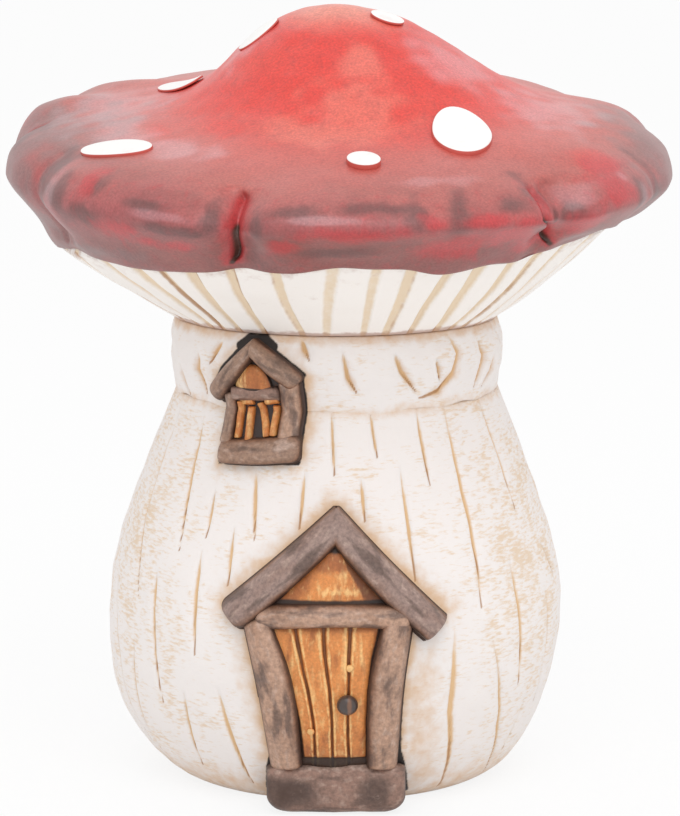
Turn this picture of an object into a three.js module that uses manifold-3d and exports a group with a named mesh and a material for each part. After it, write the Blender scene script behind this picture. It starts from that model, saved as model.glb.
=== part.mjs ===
// Toadstool house garden ornament, in millimetres with +Z up.
// A hollow cast stem carries a collar, a gilled dish and a hollow cap. The timbers of the door and the window,
// their panels and the white spots are separate pieces, each laid on the form that carries it.
// The origin is on the ground under the stem's axis, and the door faces -Y.

import * as THREE from "three";
import { mergeVertices } from "three/addons/utils/BufferGeometryUtils.js";
import Module from "manifold-3d";

const wasm = await Module();
wasm.setup();

// Joints
const LUTE_GAP = 0.3; // slip joint between neighbouring pieces

// Stem: a pear with a pour hole in its foot, a shoulder for the collar and a neck for the dish
const FOOT_RADIUS = 46.5;
const FOOT_FLARE_OUT = 12.5;
const FOOT_FLARE_UP = 3;
const BELLY_RADIUS = 70.8;
const BELLY_HEIGHT = 51;
const BELLY_FULLNESS_BELOW = 23;
const BELLY_FULLNESS_ABOVE = 23;
const SHOULDER_RADIUS = 50;
const SHOULDER_HEIGHT = 121;
const SHOULDER_FLARE_OUT = 8;
const SHOULDER_FLARE_DOWN = 20;
const STEM_WALL = 7;
const POUR_HOLE_RADIUS = 28;
const NECK_LENGTH = 23;

// Collar: a ruffled ring on the shoulder, round the neck
const COLLAR_SEAT_WIDTH = 6;
const COLLAR_BULGE = 2.3;
const COLLAR_RUFFLE = 0.7;
const COLLAR_RUFFLE_COUNT = 11;

// Gilled dish: the underside of the cap, on top of the neck and the collar
const DISH_FOOT_OVERHANG = 0.5;
const DISH_RADIUS = 85.5;
const DISH_RISE = 25.4;
const DISH_SAG = 1.2;
const DISH_WALL = 6;
const SPIGOT_LENGTH = 10;
const SPIGOT_WALL = 6;
const GILL_COUNT = 36;
const GILL_DEPTH = 1.1;

// Cap: a dome, a brim and a thick pinched rim that hangs over the dish's edge
const CAP_RISE = 70; // from the dish's edge to the crown
const CAP_RADIUS = 104;
const CAP_WALL = 6.5;
const RIM_RISE = 20; // from the dish's edge to the widest circle
const LIP_DROP = 2;
const LIP_WIDTH = 1.8;
const RIM_SEAT_WIDTH = 7;
const DOME_CROWN_FULLNESS = 30;
const BRIM_RADIUS = 62;
const BRIM_DROP = 29.5; // crown to the foot of the dome
const BRIM_FLARE_IN = 24;
const BRIM_FLARE_UP = 5.3;
const BRIM_FLARE_OUT = 22;
const RIM_FULLNESS_ABOVE = 15;
const RIM_FULLNESS_BELOW = 6;
const RIM_FACE_OUT = 8;
const RIM_FACE_UP = 8;
const CAP_FORWARD_TILT = 0.12; // drop of the top per millimetre towards the door
const DOME_LEAN = 0.12; // how much further the dome spreads to +X than to -X
const RIM_SHIFT = 1; // of the rim towards +X
const BRIM_SIDE_TILT = 0.012; // drop of the brim per millimetre towards +X
const EDGE_SIDE_TILT = 0.04; // rise of the dish's edge and the cap's lip per millimetre towards +X

// Pinches round the cap's rim: degrees from the door towards +X, depth, and half width in degrees
const SHARP_PINCH = 5.5;
const SOFT_PINCH = 4;
const SLIGHT_PINCH = 3;
const PINCHES = [
  { azimuth: -17, depth: SHARP_PINCH, spread: 4.5 },
  { azimuth: 40, depth: SHARP_PINCH, spread: 4.5 },
  { azimuth: 72, depth: SLIGHT_PINCH, spread: 5 },
  { azimuth: 112, depth: SOFT_PINCH, spread: 6 },
  { azimuth: 152, depth: SHARP_PINCH, spread: 5 },
  { azimuth: -165, depth: SHARP_PINCH, spread: 5 },
  { azimuth: -130, depth: SOFT_PINCH, spread: 6 },
  { azimuth: -98, depth: SLIGHT_PINCH, spread: 6 },
  { azimuth: -64, depth: SOFT_PINCH, spread: 6 },
];

// White spots on the cap: degrees from the door, distance from the axis, width along the rim and length up
// the slope, and a turn in degrees in the plane of the spot. Those on the brim keep their distance from the
// rim, and those on the dome theirs from the dome's foot.
const SPOT_RELIEF = 1.6;
const LARGE_SPOT_WIDTH = 19;
const LARGE_SPOT_LENGTH = 25;
const RIM_SPOT_WIDTH = 32;
const RIM_SPOT_LENGTH = 13;
const MEDIUM_SPOT = 15;
const SMALL_SPOT = 9.5;
const RIM_INSET = 20;
const BRIM_INSET = 31;
const WIDE_BRIM_INSET = 46;
const DOME_FLANK_INSET = 10;
const DOME_UPPER_INSET = 36;
const CROWN_REACH = 17;
const SPOTS = [
  {
    name: "front_small",
    azimuth: 5,
    reach: CAP_RADIUS - BRIM_INSET,
    width: SMALL_SPOT,
    length: SMALL_SPOT,
    turn: 0,
  },
  {
    name: "front_right_large",
    azimuth: 38,
    reach: CAP_RADIUS - WIDE_BRIM_INSET,
    width: LARGE_SPOT_WIDTH,
    length: LARGE_SPOT_LENGTH,
    turn: -10,
  },
  {
    name: "left_rim",
    azimuth: -56,
    reach: CAP_RADIUS - RIM_INSET,
    width: RIM_SPOT_WIDTH,
    length: RIM_SPOT_LENGTH,
    turn: 0,
  },
  {
    name: "left_brim",
    azimuth: -114,
    reach: CAP_RADIUS - WIDE_BRIM_INSET,
    width: MEDIUM_SPOT,
    length: MEDIUM_SPOT,
    turn: 0,
  },
  {
    name: "crown_right",
    azimuth: 75,
    reach: CROWN_REACH,
    width: RIM_SPOT_LENGTH,
    length: SMALL_SPOT,
    turn: 20,
  },
  {
    name: "crown_left",
    azimuth: -78,
    reach: BRIM_RADIUS - DOME_UPPER_INSET,
    width: RIM_SPOT_LENGTH,
    length: MEDIUM_SPOT,
    turn: 0,
  },
  {
    name: "back_brim",
    azimuth: 160,
    reach: CAP_RADIUS - BRIM_INSET,
    width: MEDIUM_SPOT,
    length: RIM_SPOT_LENGTH,
    turn: -15,
  },
  {
    name: "back_right",
    azimuth: 148,
    reach: BRIM_RADIUS - DOME_FLANK_INSET,
    width: LARGE_SPOT_WIDTH,
    length: MEDIUM_SPOT,
    turn: 25,
  },
  {
    name: "back_crown",
    azimuth: 178,
    reach: BRIM_RADIUS - DOME_UPPER_INSET,
    width: SMALL_SPOT,
    length: SMALL_SPOT,
    turn: 0,
  },
  {
    name: "back_rim",
    azimuth: -173,
    reach: CAP_RADIUS - RIM_INSET,
    width: LARGE_SPOT_WIDTH,
    length: RIM_SPOT_LENGTH,
    turn: 10,
  },
  {
    name: "back_left",
    azimuth: -155,
    reach: BRIM_RADIUS - DOME_FLANK_INSET,
    width: RIM_SPOT_LENGTH,
    length: RIM_SPOT_LENGTH,
    turn: 0,
  },
];

// Door: two posts and a lintel under a gable, on a step, all flattened logs laid on the stem
const STEP_WIDTH = 42;
const STEP_HEIGHT = 13.4;
const STEP_REACH = 65.5; // axis to the step's front
const STEP_DEPTH = 24;
const STEP_ROUND = 3;
const DOOR_LOG_RELIEF = 5.5;
const POST_WIDTH = 9.6;
const POST_BOW = 1.2;
const LEFT_POST_FOOT = -14.8;
const LEFT_POST_HEAD = -22.2;
const RIGHT_POST_FOOT = 14;
const RIGHT_POST_HEAD = 18.4;
const LINTEL_HEIGHT = 63.3;
const LINTEL_WIDTH = 8.2;
const LINTEL_LEFT = -24.5;
const LINTEL_RIGHT = 22.5;
const RAFTER_WIDTH = 9.2;
const RAFTER_RELIEF = 6.2;
const GABLE_RISE = 26.7; // from the lintel to the peak
const LEFT_RAFTER_REACH = -31;
const LEFT_RAFTER_DROP = 0.5; // from the lintel down to the rafter's foot
const RIGHT_RAFTER_REACH = 30.4;
const RIGHT_RAFTER_DROP = 3.7;
const PANEL_RELIEF = 2;
const PLANK_COUNT = 4;
const PLANK_GROOVE_WIDTH = 1.1;
const PLANK_GROOVE_DEPTH = 0.9;
const KNOB_DIAMETER = 6.4;
const KNOB_RELIEF = 3.4;
const KNOB_SIDE = 3.4;
const KNOB_HEIGHT = 36;

// Window: the same build at a smaller size, on a backing that fills the hollow of the neck
const WINDOW_AZIMUTH = -24;
const WINDOW_LOG_RELIEF = 3;
const WINDOW_POST_WIDTH = 5.4;
const WINDOW_LEFT_POST = -10.4;
const WINDOW_RIGHT_POST = 10.6;
const SILL_DROP = 11.7; // from the stem's shoulder down to the sill
const SILL_WIDTH = 7.6;
const SILL_LEFT = -12.4;
const SILL_RIGHT = 14;
const WINDOW_OPENING = 16.9; // from the sill to the header
const HEADER_WIDTH = 4.8;
const WINDOW_RAFTER_WIDTH = 6.2;
const WINDOW_RAFTER_RELIEF = 3.6;
const WINDOW_GABLE_SIDE = -3;
const WINDOW_GABLE_RISE = 12.8; // from the header to the peak
const WINDOW_LEFT_RAFTER_REACH = -16.6;
const WINDOW_LEFT_RAFTER_DROP = 0.8; // from the header down to the rafter's foot
const WINDOW_RIGHT_RAFTER_REACH = 12;
const WINDOW_RIGHT_RAFTER_RISE = 5; // from the header up to the rafter's foot
const CASEMENT_BAR = 2;
const CASEMENT_RELIEF = 1.8;
const MULLION_GAP = 3;

// Fineness of the faceted forms
const STEM_SEGMENTS = 56;
const STEM_STEPS = 6;
const STEM_BORE_STEPS = 3;
const COLLAR_SEGMENTS = 66;
const CAP_SEGMENTS = 72;
const CAP_STEPS = 5;
const CAP_BORE_STEPS = 3;
const DISH_STEPS = 4;
const SPOT_SIDES = 18;
const LOG_SIDES = 12;
const LOG_STEPS = 5;
const LOG_ROUNDNESS = 0.65; // 1 is an ellipse, less is squarer
const LOG_PRESS = 0.8; // how far a log's back is pressed flat against its wall
const FORM_MARGIN = 40; // how far a cutting form runs past what it cuts

// Heights and radii that follow from the sizes above
const SEAT_HEIGHT = SHOULDER_HEIGHT + NECK_LENGTH;
const NECK_RADIUS = SHOULDER_RADIUS - COLLAR_SEAT_WIDTH;
const NECK_BORE = NECK_RADIUS - STEM_WALL;
const DISH_BASE = SEAT_HEIGHT + LUTE_GAP;
const DISH_FOOT_RADIUS = SHOULDER_RADIUS + DISH_FOOT_OVERHANG;
const DISH_EDGE = DISH_BASE + DISH_RISE;
const CAP_SEAT = DISH_EDGE + LUTE_GAP;
const CAP_TOP = CAP_SEAT + CAP_RISE;
const RIM_HEIGHT = CAP_SEAT + RIM_RISE;
const LIP_BORE = DISH_RADIUS + LUTE_GAP;
const SILL_HEIGHT = SHOULDER_HEIGHT - SILL_DROP;
const HEADER_HEIGHT = SILL_HEIGHT + WINDOW_OPENING;
const WINDOW_GABLE_HEIGHT = HEADER_HEIGHT + WINDOW_GABLE_RISE;
const WINDOW_RIGHT_RAFTER_HEIGHT = HEADER_HEIGHT + WINDOW_RIGHT_RAFTER_RISE;

// Paints
const PAINT = {
  stem: { color: 0xefe6d8, roughness: 0.75 },
  gill: { color: 0xf1e9da, roughness: 0.7 },
  cap: { color: 0xa52a2a, roughness: 0.45 },
  spot: { color: 0xf6f4ee, roughness: 0.6 },
  timber: { color: 0x6d5a4f, roughness: 0.65 },
  panel: { color: 0xb9692c, roughness: 0.55 },
  shadow: { color: 0x3a2c28, roughness: 0.7 },
  knob: { color: 0x43302a, roughness: 0.5 },
};

const radians = THREE.MathUtils.degToRad;

// A closed solid from a geometry, for cutting and joining.
function solid(geometry) {
  const bare = geometry.clone();
  bare.deleteAttribute("normal");
  bare.deleteAttribute("uv");
  const merged = mergeVertices(bare, 1e-4);
  return new wasm.Manifold(
    new wasm.Mesh({
      numProp: 3,
      vertProperties: merged.attributes.position.array,
      triVerts: new Uint32Array(merged.index.array),
    }),
  );
}

function geometryOf(body) {
  const { vertProperties, triVerts } = body.getMesh();
  return new THREE.BufferGeometry()
    .setAttribute("position", new THREE.BufferAttribute(vertProperties, 3))
    .setIndex(new THREE.BufferAttribute(triVerts, 1));
}

function cut(geometry, ...tools) {
  const body = tools.reduce((rest, tool) => rest.subtract(solid(tool)), solid(geometry));
  return geometryOf(body);
}

function common(geometry, ...others) {
  const body = others.reduce((rest, other) => rest.intersect(solid(other)), solid(geometry));
  return geometryOf(body);
}

// A named piece of the assembly in one of the paints.
function piece(name, geometry, paint) {
  geometry.computeVertexNormals();
  const mesh = new THREE.Mesh(geometry, new THREE.MeshStandardMaterial({ ...PAINT[paint], metalness: 0 }));
  mesh.name = name;
  return mesh;
}

// A body of revolution about Z. The outline runs upwards on its outside, as points of radius and height.
function turned(outline, segments) {
  const geometry = new THREE.LatheGeometry(outline, segments);
  return geometry.rotateX(Math.PI / 2);
}

function bezier(...points) {
  return new THREE.CubicBezierCurve(...points.map(([r, z]) => new THREE.Vector2(r, z)));
}

// Points along a run of curves, moved out along the curves' normals. The curves run upwards.
function offsetPoints(curves, steps, offset) {
  const points = [];
  curves.forEach((curve, index) => {
    for (let i = index === 0 ? 0 : 1; i <= steps; i += 1) {
      const at = curve.getPoint(i / steps);
      const along = curve.getTangent(i / steps);
      points.push(new THREE.Vector2(at.x + along.y * offset, at.y - along.x * offset));
    }
  });
  return points;
}

// Height to radius along a run of points that climbs steadily.
function radiusAt(points, height) {
  const next = points.findIndex((point) => point.y >= height);
  if (next <= 0) return points.at(next).x;
  const below = points[next - 1];
  const above = points[next];
  return THREE.MathUtils.mapLinear(height, below.y, above.y, below.x, above.x);
}

// Stem
const stemCurves = [
  bezier(
    [FOOT_RADIUS, 0],
    [FOOT_RADIUS + FOOT_FLARE_OUT, FOOT_FLARE_UP],
    [BELLY_RADIUS, BELLY_HEIGHT - BELLY_FULLNESS_BELOW],
    [BELLY_RADIUS, BELLY_HEIGHT],
  ),
  bezier(
    [BELLY_RADIUS, BELLY_HEIGHT],
    [BELLY_RADIUS, BELLY_HEIGHT + BELLY_FULLNESS_ABOVE],
    [SHOULDER_RADIUS + SHOULDER_FLARE_OUT, SHOULDER_HEIGHT - SHOULDER_FLARE_DOWN],
    [SHOULDER_RADIUS, SHOULDER_HEIGHT],
  ),
];

function stemShell() {
  const outside = offsetPoints(stemCurves, STEM_STEPS, 0);
  const inside = offsetPoints(stemCurves, STEM_BORE_STEPS, -STEM_WALL).reverse();
  const floor = inside.at(-1).y;
  const outline = [
    ...outside,
    new THREE.Vector2(NECK_RADIUS, SHOULDER_HEIGHT),
    new THREE.Vector2(NECK_RADIUS, SEAT_HEIGHT),
    new THREE.Vector2(NECK_BORE, SEAT_HEIGHT),
    new THREE.Vector2(NECK_BORE, SHOULDER_HEIGHT),
    ...inside,
    new THREE.Vector2(POUR_HOLE_RADIUS, floor),
    new THREE.Vector2(POUR_HOLE_RADIUS, 0),
    outside[0].clone(),
  ];
  return turned(outline, STEM_SEGMENTS);
}

// The stem's outside as a filled body, grown by an offset, to fit pieces against.
function stemForm(offset) {
  const wall = offsetPoints(stemCurves, STEM_STEPS, offset);
  const outline = [
    new THREE.Vector2(0, -FORM_MARGIN),
    new THREE.Vector2(wall[0].x, -FORM_MARGIN),
    ...wall,
    new THREE.Vector2(0, wall.at(-1).y),
  ];
  return turned(outline, STEM_SEGMENTS);
}

// Collar
function collarOutside(offset) {
  const foot = SHOULDER_HEIGHT + LUTE_GAP - offset;
  const head = SEAT_HEIGHT + offset;
  const middle = (foot + head) / 2;
  const bulge = SHOULDER_RADIUS + COLLAR_BULGE * 2 + offset;
  const curve = new THREE.QuadraticBezierCurve(
    new THREE.Vector2(SHOULDER_RADIUS + offset, foot),
    new THREE.Vector2(bulge, middle),
    new THREE.Vector2(SHOULDER_RADIUS + offset, head),
  );
  return curve.getPoints(DISH_STEPS);
}

function ruffled(geometry) {
  const position = geometry.getAttribute("position");
  const middle = (SHOULDER_HEIGHT + SEAT_HEIGHT) / 2;
  for (let i = 0; i < position.count; i += 1) {
    const [x, y, z] = [position.getX(i), position.getY(i), position.getZ(i)];
    const radius = Math.hypot(x, y);
    const outside = THREE.MathUtils.smoothstep(radius, NECK_RADIUS + LUTE_GAP, SHOULDER_RADIUS);
    const level = 1 - Math.abs(z - middle) / (NECK_LENGTH / 2);
    const wave = Math.cos(COLLAR_RUFFLE_COUNT * Math.atan2(x, -y));
    const scale = 1 + (COLLAR_RUFFLE * wave * outside * Math.max(level, 0)) / radius;
    position.setXYZ(i, x * scale, y * scale, z);
  }
  return geometry;
}

function collarRing() {
  const outside = collarOutside(0);
  const bore = NECK_RADIUS + LUTE_GAP;
  const outline = [
    new THREE.Vector2(bore, outside[0].y),
    ...outside,
    new THREE.Vector2(bore, outside.at(-1).y),
    new THREE.Vector2(bore, outside[0].y),
  ];
  return ruffled(turned(outline, COLLAR_SEGMENTS));
}

function collarForm(offset) {
  const outside = collarOutside(offset);
  const outline = [
    new THREE.Vector2(0, outside[0].y),
    ...outside,
    new THREE.Vector2(0, outside.at(-1).y),
  ];
  return ruffled(turned(outline, COLLAR_SEGMENTS));
}

// Gilled dish
function dishCurve(offset) {
  const middle = new THREE.Vector2(
    (DISH_FOOT_RADIUS + DISH_RADIUS) / 2,
    (DISH_BASE + DISH_EDGE) / 2 - DISH_SAG * 2,
  );
  return new THREE.QuadraticBezierCurve(
    new THREE.Vector2(DISH_FOOT_RADIUS + offset, DISH_BASE - offset),
    new THREE.Vector2(middle.x + offset, middle.y - offset),
    new THREE.Vector2(DISH_RADIUS + offset, DISH_EDGE - offset),
  );
}

// Tilts the dish's edge sideways, with its foot level.
function tiltedDish(geometry) {
  const position = geometry.getAttribute("position");
  for (let i = 0; i < position.count; i += 1) {
    const [x, z] = [position.getX(i), position.getZ(i)];
    const share = THREE.MathUtils.smoothstep(z, DISH_BASE, DISH_EDGE - LIP_DROP - LUTE_GAP);
    position.setZ(i, z + EDGE_SIDE_TILT * x * share);
  }
  return geometry;
}

// Cuts a groove between each two gills into the dish's sloping underside.
function gilled(geometry) {
  const position = geometry.getAttribute("position");
  const span = DISH_EDGE - DISH_BASE;
  for (let i = 0; i < position.count; i += 1) {
    const [x, y, z] = [position.getX(i), position.getY(i), position.getZ(i)];
    const radius = Math.hypot(x, y);
    const rise = (z - DISH_BASE) / span;
    const outside = radius >= DISH_FOOT_RADIUS + (DISH_RADIUS - DISH_FOOT_RADIUS) * rise - DISH_SAG;
    const turn = (Math.atan2(x, -y) * GILL_COUNT) / (2 * Math.PI);
    const fromGroove = Math.abs(turn - Math.round(turn));
    if (!outside || rise <= 0.02 || rise >= 0.98 || fromGroove > 0.1) continue;
    const scale = 1 - GILL_DEPTH / radius;
    position.setXYZ(i, x * scale, y * scale, z);
  }
  return geometry;
}

function gillDish() {
  const spigot = NECK_BORE - LUTE_GAP;
  const vent = spigot - SPIGOT_WALL;
  const under = dishCurve(0).getPoints(DISH_STEPS);
  const edgeBore = DISH_RADIUS - DISH_WALL;
  const floor = DISH_BASE + DISH_WALL;
  const outline = [
    new THREE.Vector2(vent, DISH_BASE - SPIGOT_LENGTH),
    new THREE.Vector2(spigot, DISH_BASE - SPIGOT_LENGTH),
    new THREE.Vector2(spigot, DISH_BASE),
    ...under,
    new THREE.Vector2(edgeBore, DISH_EDGE),
    new THREE.Vector2(DISH_FOOT_RADIUS - DISH_WALL / 2, floor),
    new THREE.Vector2(vent, floor),
    new THREE.Vector2(vent, DISH_BASE - SPIGOT_LENGTH),
  ];
  return tiltedDish(gilled(turned(outline, GILL_COUNT * 3)));
}

function dishForm(offset) {
  const under = dishCurve(offset).getPoints(DISH_STEPS);
  const outline = [
    new THREE.Vector2(0, under[0].y),
    ...under,
    new THREE.Vector2(0, under.at(-1).y),
  ];
  return tiltedDish(turned(outline, STEM_SEGMENTS));
}

// Cap
const lipOutside = LIP_BORE + LIP_WIDTH;
const lipHeight = CAP_SEAT - LIP_DROP;
const capCurves = [
  bezier(
    [lipOutside, lipHeight],
    [lipOutside + RIM_FACE_OUT, lipHeight + RIM_FACE_UP],
    [CAP_RADIUS, RIM_HEIGHT - RIM_FULLNESS_BELOW],
    [CAP_RADIUS, RIM_HEIGHT],
  ),
  bezier(
    [CAP_RADIUS, RIM_HEIGHT],
    [CAP_RADIUS, RIM_HEIGHT + RIM_FULLNESS_ABOVE],
    [BRIM_RADIUS + BRIM_FLARE_OUT, CAP_TOP - BRIM_DROP - (BRIM_FLARE_UP * BRIM_FLARE_OUT) / BRIM_FLARE_IN],
    [BRIM_RADIUS, CAP_TOP - BRIM_DROP],
  ),
  bezier(
    [BRIM_RADIUS, CAP_TOP - BRIM_DROP],
    [BRIM_RADIUS - BRIM_FLARE_IN, CAP_TOP - BRIM_DROP + BRIM_FLARE_UP],
    [DOME_CROWN_FULLNESS, CAP_TOP],
    [0, CAP_TOP],
  ),
];

// Moves a point of the plain turned cap to its place on the pinched, leaning and tilted one.
function capShaped(point) {
  const radius = Math.hypot(point.x, point.y);
  const azimuth = Math.atan2(point.x, -point.y);
  const upper = THREE.MathUtils.smoothstep(point.z, CAP_SEAT, RIM_HEIGHT + RIM_FULLNESS_ABOVE);
  const rim = THREE.MathUtils.smoothstep(radius, lipOutside, CAP_RADIUS - CAP_WALL);
  const dome = Math.sin(Math.PI * Math.min(radius / (CAP_RADIUS - CAP_WALL), 1)) * upper;
  const pinch = PINCHES.reduce((depth, notch) => {
    const turn = THREE.MathUtils.euclideanModulo(azimuth - radians(notch.azimuth) + Math.PI, 2 * Math.PI) - Math.PI;
    return depth + notch.depth * Math.exp(-((turn / radians(notch.spread)) ** 2));
  }, 0);
  const wider = 1 + DOME_LEAN * Math.sin(azimuth) * dome - (rim * pinch) / Math.max(radius, 1);
  const brim = THREE.MathUtils.smoothstep(radius, BRIM_RADIUS, CAP_RADIUS - CAP_WALL);
  const tilt = (CAP_FORWARD_TILT * point.y - BRIM_SIDE_TILT * point.x * brim) * upper;
  const low = THREE.MathUtils.clamp((RIM_HEIGHT - point.z) / RIM_RISE, 0, 1);
  const lift = EDGE_SIDE_TILT * point.x * low;
  return new THREE.Vector3(point.x * wider + RIM_SHIFT * rim, point.y * wider, point.z + tilt + lift);
}

function shapedCap(geometry) {
  const position = geometry.getAttribute("position");
  const point = new THREE.Vector3();
  for (let i = 0; i < position.count; i += 1) {
    point.fromBufferAttribute(position, i);
    position.setXYZ(i, ...capShaped(point));
  }
  return geometry;
}

function capShell() {
  const outside = offsetPoints(capCurves, CAP_STEPS, 0);
  const inside = offsetPoints(capCurves, CAP_BORE_STEPS, -CAP_WALL).reverse();
  const shelf = LIP_BORE - RIM_SEAT_WIDTH;
  const hollow = inside.filter((point) => point.y > CAP_SEAT + CAP_WALL && point.x > -1e-6);
  const outline = [
    new THREE.Vector2(LIP_BORE, lipHeight),
    ...outside,
    ...hollow,
    new THREE.Vector2(shelf, CAP_SEAT + CAP_WALL),
    new THREE.Vector2(shelf, CAP_SEAT),
    new THREE.Vector2(LIP_BORE, CAP_SEAT),
    new THREE.Vector2(LIP_BORE, lipHeight),
  ];
  outline.forEach((point) => point.setX(Math.max(point.x, 0)));
  return shapedCap(turned(outline, CAP_SEGMENTS));
}

// The cap's outside as a filled body, grown by an offset, to fit the spots against.
function capForm(offset) {
  const wall = offsetPoints(capCurves, CAP_STEPS, offset);
  wall.at(-1).setX(0);
  const outline = [new THREE.Vector2(0, wall[0].y), ...wall];
  return shapedCap(turned(outline, CAP_SEGMENTS));
}

// A point of the cap's top, seen from the axis at an azimuth and a distance.
function onCap(azimuth, reach) {
  const top = offsetPoints(capCurves.slice(1), CAP_STEPS, 0).reverse();
  const outer = top.findIndex((point) => point.x >= reach);
  const [inner, far] = [top[outer - 1], top[outer]];
  const height = THREE.MathUtils.mapLinear(reach, inner.x, far.x, inner.y, far.y);
  const angle = radians(azimuth);
  return capShaped(new THREE.Vector3(reach * Math.sin(angle), -reach * Math.cos(angle), height));
}

function spotPiece({ name, azimuth, reach, width, length, turn }, seat, face) {
  const step = 1;
  const centre = onCap(azimuth, reach);
  const along = onCap(azimuth + step, reach).sub(onCap(azimuth - step, reach)).normalize();
  const outwards = onCap(azimuth, reach + step).sub(onCap(azimuth, reach - step)).normalize();
  const normal = new THREE.Vector3().crossVectors(outwards, along).normalize();
  const across = new THREE.Vector3().crossVectors(normal, along);
  const plug = new THREE.CylinderGeometry(0.5, 0.5, CAP_WALL * 2, SPOT_SIDES);
  plug.rotateX(Math.PI / 2);
  plug.scale(width, length, 1);
  plug.rotateZ(radians(turn));
  plug.applyMatrix4(new THREE.Matrix4().makeBasis(along, across, normal).setPosition(centre));
  return piece(`spot_${name}`, cut(common(plug, face), seat), "spot");
}

// Flattened logs
// A wall is a function of height that gives the radius of the surface a log lies on.
function onWall(wall, side, height) {
  const radius = wall(height);
  return new THREE.Vector3(side, -Math.sqrt(Math.max(radius ** 2 - side ** 2, 0)), height);
}

function wallNormal(wall, side, height) {
  const step = 0.5;
  const at = onWall(wall, side, height);
  const slope = (wall(height + step) - wall(height - step)) / (2 * step);
  const radius = Math.hypot(at.x, at.y);
  return new THREE.Vector3(at.x / radius, at.y / radius, -slope).normalize();
}

// Joins a stack of rings with equal numbers of points into one closed body, flat at both ends.
function loft(rings) {
  const sides = rings[0].length;
  const points = rings.flat();
  const faces = [];
  for (let k = 0; k + 1 < rings.length; k += 1) {
    for (let i = 0; i < sides; i += 1) {
      const next = (i + 1) % sides;
      const [a, b, c, d] = [k * sides + i, k * sides + next, (k + 1) * sides + next, (k + 1) * sides + i];
      faces.push(a, b, c, a, c, d);
    }
  }
  const last = (rings.length - 1) * sides;
  for (let i = 1; i + 1 < sides; i += 1) {
    faces.push(0, i + 1, i);
    faces.push(last, last + i, last + i + 1);
  }
  return new THREE.BufferGeometry().setFromPoints(points).setIndex(faces);
}

// A log pressed on a wall along a curve of side and height. With a clearance it becomes the tool that makes
// room for the log in its neighbours: wider all round and straight-sided below, down through the wall.
function log({ wall, curve, width, relief }, clearance = 0) {
  const endRound = relief / 3;
  const length = curve.getLength();
  const stops = [0, endRound / length];
  for (let k = 1; k < LOG_STEPS; k += 1) stops.push(k / LOG_STEPS);
  stops.push(1 - endRound / length, 1);
  const rings = stops.map((stop) => {
    const end = stop === 0 ? -1 : Number(stop === 1);
    const shrink = end === 0 ? 0 : endRound;
    const at = curve.getPointAt(stop).addScaledVector(curve.getTangentAt(stop), end * clearance);
    const before = curve.getPointAt(Math.max(stop - 0.01, 0));
    const after = curve.getPointAt(Math.min(stop + 0.01, 1));
    const normal = wallNormal(wall, at.x, at.y);
    const along = onWall(wall, after.x, after.y).sub(onWall(wall, before.x, before.y)).normalize();
    const across = new THREE.Vector3().crossVectors(normal, along).normalize();
    const halfWide = width / 2 + clearance - shrink;
    const halfHigh = (relief + LOG_PRESS - shrink) / 2 + clearance;
    const core = onWall(wall, at.x, at.y).addScaledVector(normal, (relief - LOG_PRESS - shrink) / 2);
    return Array.from({ length: LOG_SIDES }, (_, i) => {
      const angle = (i / LOG_SIDES) * 2 * Math.PI;
      const [c, s] = [Math.cos(angle), Math.sin(angle)];
      const below = clearance > 0 && s < 0;
      const wide = below ? THREE.MathUtils.clamp(2 * c, -1, 1) : Math.sign(c) * Math.abs(c) ** LOG_ROUNDNESS;
      const high = below ? 3 * s : Math.sign(s) * Math.abs(s) ** LOG_ROUNDNESS;
      return core.clone().addScaledVector(across, halfWide * wide).addScaledVector(normal, halfHigh * high);
    });
  });
  return loft(rings);
}

// A straight or bowed run between two points of side and height.
function run([startSide, startHeight], [endSide, endHeight], bow = 0) {
  return new THREE.QuadraticBezierCurve(
    new THREE.Vector2(startSide, startHeight),
    new THREE.Vector2((startSide + endSide) / 2 + bow, (startHeight + endHeight) / 2),
    new THREE.Vector2(endSide, endHeight),
  );
}

// A prism through the wall with an outline of side and height points, facing -Y.
function prism(corners) {
  const shape = new THREE.Shape(corners.map(([side, height]) => new THREE.Vector2(side, height)));
  const geometry = new THREE.ExtrudeGeometry(shape, { depth: BELLY_RADIUS + FORM_MARGIN, bevelEnabled: false });
  return geometry.rotateX(Math.PI / 2);
}

// The half of space on one side of a plane square to X, as a large block.
function halfSpace(plane, direction) {
  const size = 4 * CAP_RADIUS;
  return new THREE.BoxGeometry(size, size, size).translate(plane + (direction * size) / 2, 0, 0);
}

function spaceBelow(height) {
  const size = 4 * CAP_RADIUS;
  return new THREE.BoxGeometry(size, size, size).translate(0, 0, height - size / 2);
}

// A gable's two rafters, mitred on the plane through its peak.
function rafters({ wall, side, height, left, right, width, relief }) {
  const past = width;
  const beyond = ([endSide, endHeight]) => {
    const lean = (height - endHeight) / Math.abs(endSide - side);
    return [side - Math.sign(endSide - side) * past, height + past * lean];
  };
  const spec = { wall, width, relief };
  const leftLog = { ...spec, curve: run(beyond(left), left) };
  const rightLog = { ...spec, curve: run(beyond(right), right) };
  return {
    left: cut(log(leftLog), halfSpace(side - LUTE_GAP / 2, 1)),
    right: cut(log(rightLog), halfSpace(side + LUTE_GAP / 2, -1)),
    leftRoom: cut(log(leftLog, LUTE_GAP), halfSpace(side + LUTE_GAP, 1)),
    rightRoom: cut(log(rightLog, LUTE_GAP), halfSpace(side - LUTE_GAP, -1)),
  };
}

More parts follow.
